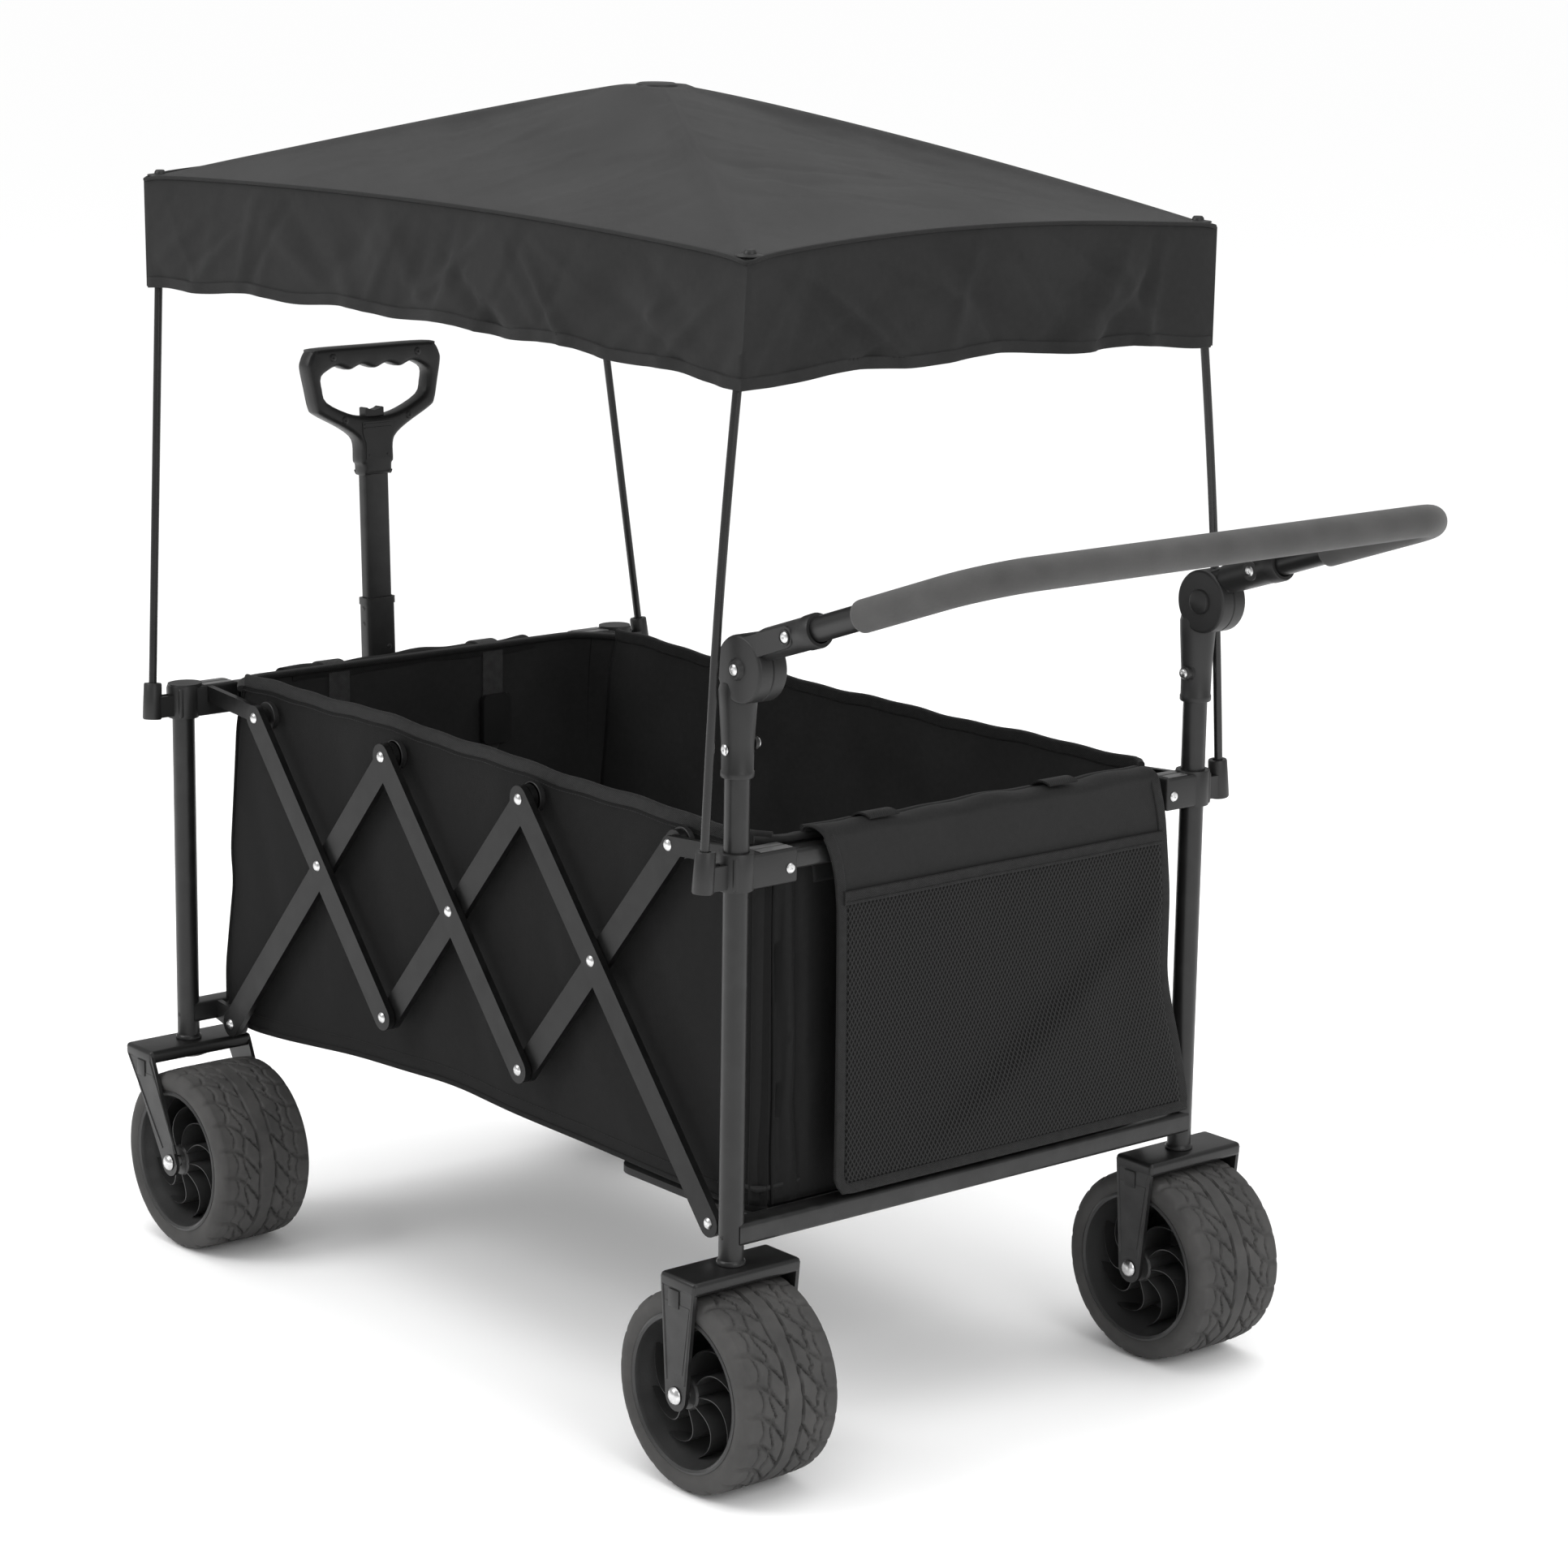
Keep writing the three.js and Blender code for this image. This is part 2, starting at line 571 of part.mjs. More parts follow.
// end wall that wraps over the top rail and hangs down outside it to flapZ
function endPanel(end, flapZ) {
  const inner = BASKET.halfX + 1.5;
  const outer = POST_X + RAIL_HALF + 3;
  const skin = 3;
  const wrapY = [-200, 200];
  const wallY = [-BASKET.wallY[0] + 1, BASKET.wallY[0] - 1];
  const top = BASKET.rimZ - 4;
  const wall = block(sorted(end, inner, inner + skin), wallY, [BASKET.floorZ[1] + 4, top]);
  const cap = block(sorted(end, inner, outer + skin), wrapY, [top - 6, top]);
  const flap = block(sorted(end, outer, outer + skin), wrapY, [flapZ, top]);
  return join(wall, cap, flap);
}

add('basket_body', basketBody(), FABRIC);
add('front_panel', endPanel(-1, 505), FABRIC);
add('rear_panel', endPanel(1, 250), FABRIC);

// ---- canopy ----

// point of the canopy's outer skin: ring 0 is the apex, ring 1 the roof's edge and ring 2 the hem
function canopyPoint(ring, across, along, inset) {
  const hem = Math.max(0, ring - 1);
  const mix = (a, b) => THREE.MathUtils.lerp(a, b, hem);
  const rear = mix(CANOPY.rear, CANOPY_HEM.rear) - inset;
  const front = mix(CANOPY.front, CANOPY_HEM.front) + inset;
  const halfY = mix(CANOPY.halfY, CANOPY_HEM.halfY) - inset;
  const spread = Math.min(1, ring);
  const x = (rear + front) / 2 + (spread * along * (rear - front)) / 2;
  const roofFall = Math.max(0, spread - HUB_FLAT) / (1 - HUB_FLAT);
  const roofZ = CANOPY.apexZ - (CANOPY.apexZ - CANOPY.edgeZ) * roofFall;
  const z = ring > 1 ? mix(CANOPY.edgeZ, CANOPY_HEM.z) : roofZ - inset;
  return [x, spread * across * halfY, z];
}

// closed shell: an outer and an inner skin of square rings, joined along the hem
function canopyShell() {
  const perSide = 4;
  const around = perSide * 4;
  const rings = [HUB_FLAT, 0.55, 1, 2];
  const position = [];
  const square = (i) => {
    const turn = (i / perSide) % 4;
    const slide = 2 * (turn % 1) - 1;
    return [[slide, 1], [1, -slide], [-slide, -1], [-1, slide]][Math.floor(turn)];
  };
  const skins = [0, CANOPY.skin].map((inset) => {
    const rows = rings.map((ring) => {
      const first = position.length / 3;
      for (let i = 0; i < around; i += 1) {
        const [along, across] = square(i);
        position.push(...canopyPoint(ring, across, along, inset));
      }
      return first;
    });
    position.push(...canopyPoint(0, 0, 0, inset));
    return { rows, apex: position.length / 3 - 1 };
  });
  const faces = [];
  const strip = (upper, lower, flip) => {
    for (let i = 0; i < around; i += 1) {
      const j = (i + 1) % around;
      const quad = [[upper + i, upper + j, lower + i], [upper + j, lower + j, lower + i]];
      quad.forEach((face) => faces.push(...(flip ? face.reverse() : face)));
    }
  };
  skins.forEach(({ rows, apex }, index) => {
    const flip = index === 1;
    for (let i = 0; i < around; i += 1) {
      const face = [apex, rows[0] + ((i + 1) % around), rows[0] + i];
      faces.push(...(flip ? face.reverse() : face));
    }
    for (let r = 1; r < rows.length; r += 1) strip(rows[r - 1], rows[r], flip);
  });
  strip(skins[0].rows.at(-1), skins[1].rows.at(-1), false);
  const geometry = new THREE.BufferGeometry();
  geometry.setAttribute('position', new THREE.Float32BufferAttribute(position, 3));
  geometry.setIndex(faces);
  geometry.computeVertexNormals();
  return geometry;
}

add('canopy_cover', canopyShell(), ROOF_FABRIC);

wagon.position.x = -MID_X;

export default wagon;
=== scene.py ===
"""Looks of the folding canopy wagon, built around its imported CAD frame. Metres, floor at z = 0."""

import json
import math
import random

import bmesh
import bpy
from mathutils import Matrix, Vector


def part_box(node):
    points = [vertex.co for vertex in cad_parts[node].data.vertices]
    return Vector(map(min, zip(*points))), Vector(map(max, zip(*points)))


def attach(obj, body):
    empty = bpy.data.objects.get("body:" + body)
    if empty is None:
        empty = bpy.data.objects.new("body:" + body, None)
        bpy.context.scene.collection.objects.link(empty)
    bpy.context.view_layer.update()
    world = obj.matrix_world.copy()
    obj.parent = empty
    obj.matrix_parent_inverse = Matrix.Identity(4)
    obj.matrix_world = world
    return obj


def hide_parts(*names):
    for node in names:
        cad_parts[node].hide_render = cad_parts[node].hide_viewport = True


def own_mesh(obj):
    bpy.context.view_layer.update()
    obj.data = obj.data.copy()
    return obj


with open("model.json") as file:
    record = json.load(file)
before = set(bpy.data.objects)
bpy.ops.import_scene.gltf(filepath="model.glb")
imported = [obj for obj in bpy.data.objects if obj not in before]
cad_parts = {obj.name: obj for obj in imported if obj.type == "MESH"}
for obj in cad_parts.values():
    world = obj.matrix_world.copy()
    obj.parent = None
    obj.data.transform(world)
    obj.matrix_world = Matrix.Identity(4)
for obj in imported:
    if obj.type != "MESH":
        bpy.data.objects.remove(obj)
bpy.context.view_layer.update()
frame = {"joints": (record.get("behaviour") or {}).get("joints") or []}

TAU = 2 * math.pi
SIDES = (("left", -1), ("right", 1))
ENDS = (("front", -1), ("rear", 1))
CORNERS = [(f"{end_name}_{side_name}", end, side) for end_name, end in ENDS for side_name, side in SIDES]
FRAME_BODY = {-1: "front_frame", 1: "rear_frame"}


# ---- places taken from the frame ----

def centre(node):
    low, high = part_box(node)
    return (low + high) / 2


def size(node):
    low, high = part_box(node)
    return high - low


ORIGIN_X = (centre("front_top_rail").x + centre("rear_top_rail").x) / 2
POST_X = (centre("rear_top_rail").x - centre("front_top_rail").x) / 2
POST_Y = centre("front_right_tyre").y
POST_R = 0.011
WHEEL_R = size("front_left_tyre").z / 2
FORK_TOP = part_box("front_left_fork")[1].z
POST_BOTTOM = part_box("front_frame")[0].z
RAIL_Z = (0.214, 0.234)
BRACKET_Z = (0.5255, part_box("front_left_bracket")[1].z - 0.0065)
PUSH_PIVOT = Vector((centre("push_left_button").x, 0, centre("push_left_button").z))
JOINTS = {joint["name"]: joint for joint in frame["joints"]}
PULL_PIVOT = Vector(JOINTS["pull_handle_swing"]["pos_m"])
PULL_AXIS = Vector(JOINTS["pull_handle_extend"]["axis"]).normalized()
BASKET_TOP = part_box("basket_body")[1].z
WALL_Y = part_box("basket_body")[1].y
WALL_END = POST_X - 0.0145


def at(x, y, z):
    """A point given from the middle between the posts."""
    return Vector((x + ORIGIN_X, y, z))


# ---- node materials ----

class Nodes:
    """Adds and joins the shader nodes of one material."""

    def __init__(self, name):
        self.material = bpy.data.materials.new(name)
        self.material.use_nodes = True
        self.tree = self.material.node_tree

    def fill(self, node, inputs):
        """Sets each input to a value, or links it to the socket given. A _ stands for a space."""
        for name, value in inputs.items():
            socket = node.inputs[name.replace("_", " ")]
            if isinstance(value, bpy.types.NodeSocket):
                self.tree.links.new(value, socket)
            elif value is not None:
                socket.default_value = value
        return node

    def add(self, kind, **inputs):
        return self.fill(self.tree.nodes.new(f"ShaderNode{kind}"), inputs)

    def coordinates(self, kind="Object"):
        return self.add("TexCoord").outputs[kind]

    def split(self, vector):
        return self.add("SeparateXYZ", Vector=vector).outputs

    def noise(self, vector, scale, detail=3, rough=0.5):
        return self.add("TexNoise", Vector=vector, Scale=scale, Detail=detail, Roughness=rough).outputs["Fac"]

    def bump(self, height, distance, strength=1.0, normal=None):
        node = self.add("Bump", Height=height, Distance=distance, Strength=strength, Normal=normal)
        return node.outputs["Normal"]

    def map_range(self, value, low, high, start=0.0, end=1.0):
        node = self.add("MapRange", Value=value, From_Min=start, From_Max=end, To_Min=low, To_Max=high)
        return node.outputs["Result"]

    def ramp(self, factor, low, high, start=0.3, end=0.7):
        """Colour from one grey to another as the factor goes from start to end."""
        node = self.add("ValToRGB", Fac=factor)
        for element, place, colour in zip(node.color_ramp.elements, (start, end), (low, high)):
            element.position = place
            element.color = (*colour, 1)
        return node.outputs["Color"]

    def math(self, operation, first, second):
        node = self.add("Math")
        node.operation = operation
        for socket, value in zip(node.inputs, (first, second)):
            if isinstance(value, (int, float)):
                socket.default_value = value
            else:
                self.tree.links.new(value, socket)
        return node.outputs[0]

    def wave(self, value, turn):
        return self.math("SINE", self.math("MULTIPLY", value, turn), 0)

    def shade(self, **inputs):
        """Sets or links the shader's own inputs and gives back the material."""
        self.fill(self.tree.nodes["Principled BSDF"], inputs)
        return self.material


def grey(value, warm=0.0):
    return (value * (1 + warm), value, value * (1 - warm))


def powder_coat(name, dark, light, shine):
    """Satin black powder coat with a fine orange peel and edges rubbed a little lighter."""
    m = Nodes(name)
    where = m.coordinates()
    worn = m.map_range(m.add("NewGeometry").outputs["Pointiness"], 0, 1, 0.52, 0.62)
    patch = m.math("MULTIPLY", worn, m.noise(where, 60, 4))
    return m.shade(Base_Color=m.ramp(patch, grey(dark), grey(light), 0.25, 0.8),
                   Roughness=m.map_range(m.noise(where, 35), 0.28, 0.42),
                   Normal=m.bump(m.noise(where, 1400, 2), 0.00006),
                   Specular_IOR_Level=shine)


def moulded_plastic(name, value, rough, grain=900):
    """Moulded plastic with a spark-eroded texture and slight flow marks."""
    m = Nodes(name)
    where = m.coordinates()
    return m.shade(Base_Color=m.ramp(m.noise(where, 18, 5), grey(value * 0.85), grey(value * 1.2)),
                   Roughness=m.map_range(m.noise(where, 50), rough - 0.06, rough + 0.06),
                   Normal=m.bump(m.noise(where, grain, 3), 0.00008),
                   Specular_IOR_Level=0.4)


def tyre_rubber():
    """Matt rubber with uneven greyer dust and a fine grain."""
    m = Nodes("tyre_rubber")
    where = m.coordinates()
    dust = m.noise(where, 22, 6, 0.65)
    return m.shade(Base_Color=m.ramp(dust, grey(0.030, 0.02), grey(0.056, 0.03)),
                   Roughness=m.map_range(dust, 0.62, 0.85),
                   Normal=m.bump(m.noise(where, 700, 4), 0.00012),
                   Specular_IOR_Level=0.4)


def grip_foam():
    """Closed-cell foam: open pores and a faint sheen."""
    m = Nodes("grip_foam")
    where = m.coordinates()
    cells = m.add("TexVoronoi", Vector=where, Scale=1100).outputs["Distance"]
    return m.shade(Base_Color=m.ramp(m.noise(where, 30, 4), grey(0.034, 0.02), grey(0.048, 0.02)),
                   Normal=m.bump(cells, 0.00015),
                   Roughness=0.72,
                   Sheen_Weight=0.10,
                   Sheen_Roughness=0.5)


def bright_zinc():
    m = Nodes("bright_zinc")
    where = m.coordinates()
    return m.shade(Base_Color=m.ramp(m.noise(where, 300, 4), grey(0.55), grey(0.78)),
                   Roughness=m.map_range(m.noise(where, 800), 0.22, 0.38),
                   Metallic=1.0)


def woven(name, value, pitch=0.0011, sheen=0.25, rough=0.8):
    """Plain-weave polyester: threads crossing at the given pitch, read from UVs laid out in metres."""
    m = Nodes(name)
    uv = m.coordinates("UV")
    along, across, _ = m.split(uv)
    weave = m.math("MULTIPLY", m.wave(along, TAU / pitch), m.wave(across, TAU / pitch))
    cloud = m.noise(uv, 9, 5)
    slub = m.noise(uv, 160, 3)
    mottled = m.math("ADD", m.math("MULTIPLY", cloud, 0.7), m.math("MULTIPLY", slub, 0.3))
    soft = m.bump(m.noise(uv, 55, 4), 0.0008, 0.5)
    return m.shade(Base_Color=m.ramp(mottled, grey(value * 0.8), grey(value * 1.25)),
                   Normal=m.bump(weave, 0.00012, 0.8, soft),
                   Roughness=m.map_range(cloud, rough - 0.08, rough + 0.08),
                   Sheen_Weight=sheen,
                   Sheen_Roughness=0.45,
                   Specular_IOR_Level=0.12)


def netting(name, value, pitch=0.0052):
    """Knitted mesh: staggered rows of small holes, painted dark in the middle as painted shade on the flap
    seen through them, and raised at the threads.
    """
    m = Nodes(name)
    along, across, _ = m.split(m.coordinates("UV"))
    turn = TAU / pitch
    slant = m.math("ADD", m.math("MULTIPLY", along, turn), m.math("MULTIPLY", across, turn * 0.6))
    back = m.math("SUBTRACT", m.math("MULTIPLY", along, turn), m.math("MULTIPLY", across, turn * 0.6))
    thread = m.math("MAXIMUM", m.math("SINE", slant, 0), m.math("SINE", back, 0))
    # The holes are painted near black, as painted shade on the flap seen through them; the threads keep their
    # own colour.
    return m.shade(Base_Color=m.ramp(thread, grey(value * 0.16), grey(value * 2.7), 0.45, 0.95),
                   Normal=m.bump(thread, 0.0005, 0.9),
                   Roughness=0.7,
                   Sheen_Weight=0.03,
                   Specular_IOR_Level=0.12)


def webbing(name, value, pitch=0.0022):
    m = Nodes(name)
    uv = m.coordinates("UV")
    along, across, _ = m.split(uv)
    twill = m.math("MULTIPLY", m.wave(along, TAU / pitch), m.wave(across, TAU / (pitch * 0.8)))
    return m.shade(Base_Color=m.ramp(m.noise(uv, 120, 4), grey(value * 0.8), grey(value * 1.3)),
                   Normal=m.bump(twill, 0.0003, 0.8),
                   Roughness=0.75,
                   Sheen_Weight=0.05,
                   Specular_IOR_Level=0.2)


STEEL = powder_coat("powder_coat", 0.008, 0.023, 0.42)
# The lattice bars' copy of the frame's powder coat is painted darker, as painted shade, and has a duller
# finish.
SHADED_BAR_STEEL = powder_coat("lattice_coat_shaded", 0.004, 0.012, 0.22)
PLASTIC = moulded_plastic("black_plastic", 0.012, 0.44)
HUB = moulded_plastic("hub_plastic", 0.030, 0.30, 500)
ROD_STEEL = moulded_plastic("rod_steel", 0.012, 0.24)
RUBBER = tyre_rubber()
FOAM = grip_foam()
ZINC = bright_zinc()
BASKET = woven("basket_cloth", 0.0068, 0.0012, 0.03, 0.74)
# The rear wall's copy of the basket cloth is painted lighter, as painted light, and is glossier.
REAR_CLOTH_LIT = woven("rear_cloth_lit", 0.0090, 0.0012, 0.03, 0.52)
FLAP = woven("flap_cloth", 0.0140, 0.0012, 0.03, 0.58)
# The inside faces and the floor of the basket are painted lighter than the outside cloth, as painted light
# inside the basket.
LINING_PAINTED_LIGHT = woven("lining_cloth", 0.0200, 0.0012, 0.01, 0.85)
# The roof and the valance are one cloth: the roof's copy is painted lighter, as painted light on its top, and
# the valance's darker, as painted shade.
ROOF_LIT = woven("canopy_cloth_lit", 0.026, 0.0009, 0.07, 0.78)
VALANCE_SHADED = woven("valance_cloth_shaded", 0.018, 0.0009, 0.05, 0.8)
BINDING = webbing("edge_binding", 0.010)
STRAP = webbing("strap_webbing", 0.006)
INNER_STRAP = webbing("inner_strap", 0.034)
# Pale grey plastic for a painted highlight on the top of the brackets' arms.
INSERT_HIGHLIGHT = moulded_plastic("bracket_top_highlight", 0.090, 0.32)
NET = netting("pocket_net", 0.0078, 0.0044)
BOARD = woven("board_cloth", 0.030, 0.0012, 0.05, 0.8)

# slots other than the basket's fabric, with the materials that stand in them
SLOTS = (
    ("powder_steel", (STEEL, SHADED_BAR_STEEL, ROD_STEEL)),
    ("black_plastic", (PLASTIC, INSERT_HIGHLIGHT)),
    ("hub_plastic", (HUB,)),
    ("tyre_rubber", (RUBBER,)),
    ("grip_foam", (FOAM,)),
    ("zinc_bolt", (ZINC,)),
    ("canopy_fabric", (ROOF_LIT, VALANCE_SHADED)),
)


def slot_of(material):
    return next((slot for slot, materials in SLOTS if material in materials), "basket_fabric")


WALL_SKIN = 0.0014
FLOOR_SKIN = 0.004
FLAP_SKIN = 0.0016
NET_SKIN = 0.0008
CANOPY_SKIN = 0.0012


# ---- mesh helpers ----

def to_mesh(name, bm):
    bmesh.ops.recalc_face_normals(bm, faces=bm.faces)
    mesh = bpy.data.meshes.new(name)
    bm.to_mesh(mesh)
    bm.free()
    return mesh


def piece(name, shape, material, body, replaced=None, angle=35, slot=None):
    """Shows a mesh or a bmesh as a piece that rides on a body, in place of a CAD node if one is named."""
    mesh = shape if isinstance(shape, bpy.types.Mesh) else to_mesh(name, shape)
    obj = bpy.data.objects.new(name, mesh)
    bpy.context.scene.collection.objects.link(obj)
    mesh.materials.append(material)
    mesh.polygons.foreach_set("use_smooth", [True] * len(mesh.polygons))
    mesh.set_sharp_from_angle(angle=math.radians(angle))
    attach(obj, body)
    if replaced:
        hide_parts(replaced)
    slot or slot_of(material)
    return obj


def join_rings(bm, rings, closed=False):
    """Quads from each ring of vertices to the next, and round to the first again when closed."""
    pairs = zip(rings, rings[1:] + rings[:1]) if closed else zip(rings, rings[1:])
    for lower, upper in pairs:
        for i in range(len(lower)):
            j = (i + 1) % len(lower)
            bm.faces.new((lower[i], lower[j], upper[j], upper[i]))


def cap_ends(bm, rings):
    bm.faces.new(rings[0])
    bm.faces.new(rings[-1])


def bevel_sharp(bm, width, segments=2, angle=40, faces_from=0):
    """Rounds the sharp edges of what has been added since the face with index faces_from."""
    bm.faces.ensure_lookup_table()
    new = set(bm.faces[faces_from:])
    limit = math.radians(angle)
    edges = [edge for edge in bm.edges
             if len(edge.link_faces) == 2 and edge.link_faces[0] in new and edge.calc_face_angle(0) > limit]
    bmesh.ops.bevel(bm, geom=edges, offset=width, segments=segments, affect="EDGES", profile=0.5,
                    clamp_overlap=True)


def add_box(bm, low, high, bevel=0.0, segments=2):
    """Box between two corners."""
    first = len(bm.faces)
    low, high = Vector(low), Vector(high)
    low, high = Vector(map(min, low, high)), Vector(map(max, low, high))
    made = bmesh.ops.create_cube(bm, size=1)
    bmesh.ops.scale(bm, vec=high - low, verts=made["verts"])
    bmesh.ops.translate(bm, vec=(low + high) / 2, verts=made["verts"])
    if bevel:
        bevel_sharp(bm, bevel, segments, faces_from=first)


def aligned(axis):
    return Vector((0, 0, 1)).rotation_difference(Vector(axis).normalized()).to_matrix().to_4x4()


def add_lathe(bm, profile, origin, axis, segments=48):
    """Turns [radius, height] points about an axis; a profile that leaves the axis is closed on itself."""
    basis = Matrix.Translation(Vector(origin)) @ aligned(axis)
    rings = []
    for radius, height in profile:
        if radius < 1e-7:
            rings.append([bm.verts.new(basis @ Vector((0, 0, height)))])
            continue
        turns = [TAU * i / segments for i in range(segments)]
        rings.append([bm.verts.new(basis @ Vector((radius * math.cos(turn), radius * math.sin(turn), height)))
                      for turn in turns])
    closed = len(rings[0]) > 1
    pairs = zip(rings, rings[1:] + rings[:1]) if closed else zip(rings, rings[1:])
    for lower, upper in pairs:
        for i in range(segments):
            j = (i + 1) % segments
            corners = [lower[i % len(lower)], lower[j % len(lower)], upper[j % len(upper)],
                       upper[i % len(upper)]]
            unique = list(dict.fromkeys(corners))
            if len(unique) > 2:
                bm.faces.new(unique)


def add_rod(bm, start, end, radius, segments=24, edge=0.0008):
    """Round bar with slightly broken ends."""
    start, end = Vector(start), Vector(end)
    length = (end - start).length
    profile = [(0, 0), (radius - edge, 0), (radius, edge), (radius, length - edge), (radius - edge, length),
               (0, length)]
    add_lathe(bm, profile, start, end - start, segments)


def add_prism(bm, outline, place, depth, bevel=0.0, segments=2):
    """Flat outline pushed along a depth; place(u, v, w) gives the point in the frame."""
    first = len(bm.faces)
    rings = [[bm.verts.new(place(u, v, w)) for u, v in outline] for w in depth]
    cap_ends(bm, rings)
    join_rings(bm, rings)
    if bevel:
        bevel_sharp(bm, bevel, segments, faces_from=first)


def in_xz(x, z, y):
    return at(x, y, z)


def add_sweep(bm, path, section, closed=False, up=(0, 0, 1), taper=None):
    """Section of [across, up] points carried along a path, with capped ends unless it is closed."""
    path = [Vector(p) for p in path]
    count = len(path)
    rings = []
    for i, point in enumerate(path):
        before = path[(i - 1) % count] if closed or i else point
        after = path[(i + 1) % count] if closed or i < count - 1 else point
        ahead = (after - before).normalized()
        across = ahead.cross(Vector(up)).normalized()
        normal = across.cross(ahead)
        scale = taper(i / max(1, count - 1)) if taper else 1
        rings.append([bm.verts.new(point + (across * a + normal * b) * scale) for a, b in section])
    join_rings(bm, rings, closed)
    if not closed:
        cap_ends(bm, rings)


def circle(radius, sides=16):
    return [(radius * math.cos(TAU * i / sides), radius * math.sin(TAU * i / sides)) for i in range(sides)]


def rounded_rectangle(width, height, radius, steps=4):
    points = []
    for quarter, (sx, sy) in enumerate(((1, 1), (-1, 1), (-1, -1), (1, -1))):
        for i in range(steps + 1):
            turn = (quarter + i / steps) * math.pi / 2
            x = sx * (width / 2 - radius) + radius * math.cos(turn)
            points.append((x, sy * (height / 2 - radius) + radius * math.sin(turn)))
    return points


def bend(points, radius, steps=8):
    """Turns the square corners of a path of points into quarter circles."""
    points = [Vector(p) for p in points]
    path = [points[0]]
    for before, corner, after in zip(points, points[1:], points[2:]):
        inward = (before - corner).normalized() * radius
        outward = (after - corner).normalized() * radius
        for i in range(steps + 1):
            turn = math.pi / 2 * i / steps
            path.append(corner + inward * (1 - math.sin(turn)) + outward * (1 - math.cos(turn)))
    path.append(points[-1])
    return path


def through(points, x, soft=0.012):
    """Value at x of a line through [x, value] points, with its corners softened."""
    def straight(place):
        for (x0, y0), (x1, y1) in zip(points, points[1:]):
            if place <= x1 or (x1, y1) == points[-1]:
                t = min(1.0, max(0.0, (place - x0) / (x1 - x0)))
                return y0 + (y1 - y0) * t

    return sum(straight(x + shift * soft) for shift in (-1, -0.5, 0, 0.5, 1)) / 5


def sheet_mesh(name, across, along, point, flip=False):
    """Cloth over point(u, v), u and v from 0 to 1, with UVs in metres; gives its mesh and its flat size."""
    rows = [[point(i / across, j / along) for i in range(across + 1)] for j in range(along + 1)]
    u_length = [0.0]
    for i in range(across):
        u_length.append(u_length[-1] + sum((row[i + 1] - row[i]).length for row in rows) / len(rows))
    v_length = [0.0]
    for j in range(along):
        steps = [(rows[j + 1][i] - rows[j][i]).length for i in range(across + 1)]
        v_length.append(v_length[-1] + sum(steps) / len(steps))
    stride = across + 1
    faces = []
    for j in range(along):
        for i in range(across):
            corner = j * stride + i
            quad = [corner, corner + 1, corner + stride + 1, corner + stride]
            faces.append(quad[::-1] if flip else quad)
    mesh = bpy.data.meshes.new(name)
    mesh.from_pydata([tuple(p) for row in rows for p in row], [], faces)
    uv = mesh.uv_layers.new(name="UVMap")
    for loop in mesh.loops:
        j, i = divmod(loop.vertex_index, stride)
        uv.data[loop.index].uv = (u_length[i], v_length[j])
    return mesh, (u_length[-1], v_length[-1])


def cloth(name, grid, point, thickness, material, body, replaced=None, flip=False, offset=0.0,
          lining=None, folds=None):
    """Sewn panel over point(u, v) with a real thickness; a lining may back it."""
    mesh, flat = sheet_mesh(name, *grid, point, flip)
    obj = piece(name, mesh, material, body, replaced, 80)
    skin = obj.modifiers.new("skin", "SOLIDIFY")
    skin.thickness = thickness
    skin.offset = offset
    if lining:
        mesh.materials.append(lining)
        skin.material_offset = 1
    if folds:
        folds(obj)


def folds_with_frame(obj):
    """Gives the piece a mesh of its own."""
    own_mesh(obj)


def wrinkle_field(seed, count, u_span, v_span, slopes, width, depth):
    """Sum of soft ridges laid across a panel, as a function of two coordinates in metres."""
    rng = random.Random(seed)
    ridges = []
    for _ in range(count):
        angle = math.radians(rng.choice(slopes) + rng.uniform(-12, 12))
        centre_u, centre_v = rng.uniform(*u_span), rng.uniform(*v_span)
        reach = rng.uniform(0.5, 1.3) * (v_span[1] - v_span[0])
        ridges.append((centre_u, centre_v, math.cos(angle), math.sin(angle), reach,
                       width * rng.uniform(0.6, 1.5), depth * rng.uniform(-1, 1)))

    def height(u, v):
        total = 0.0
        for cu, cv, ca, sa, reach, wide, deep in ridges:
            du, dv = u - cu, v - cv
            lengthwise = du * ca + dv * sa
            sideways = (-du * sa + dv * ca) / wide
            total += deep * math.exp(-sideways * sideways - (lengthwise / reach) ** 2)
        return total

    return height


def add_screw(bm, origin, axis, radius=0.0045, height=0.0018):
    """Pan head with a cross recess suggested by a dished middle."""
    head = ((0, 0), (1, 0), (1, 0.35), (0.8, 0.85), (0.45, 1), (0.32, 1), (0.12, 0.4), (0, 0.4))
    add_lathe(bm, [(radius * r, height * h) for r, h in head], origin, axis, 20)


def screws(name, body, places, radius=0.0045, height=0.0018):
    bm = bmesh.new()
    for origin, axis in places:
        add_screw(bm, origin, axis, radius, height)
    piece(name, bm, ZINC, body)


# ---- wheels ----

RIM_R = 0.0695
TYRE_HALF = size("front_left_tyre").y / 2 + 0.0030
BEAD = (RIM_R, -TYRE_HALF + 0.0022)
WIDEST = (0.0785, -TYRE_HALF - 0.0010)
SHOULDER = (0.0888, -TYRE_HALF + 0.0075)
CROWN_STEPS = 64
TREAD_SEGMENTS = 378
TREAD_PITCHES = 21
TREAD_HALF = 0.0085
SLOT_REACH = 0.034


def groove(distance, width, depth):
    """Depth of a flat-bottomed groove at a distance from its middle."""
    return depth * math.exp(-((distance / width) ** 4))


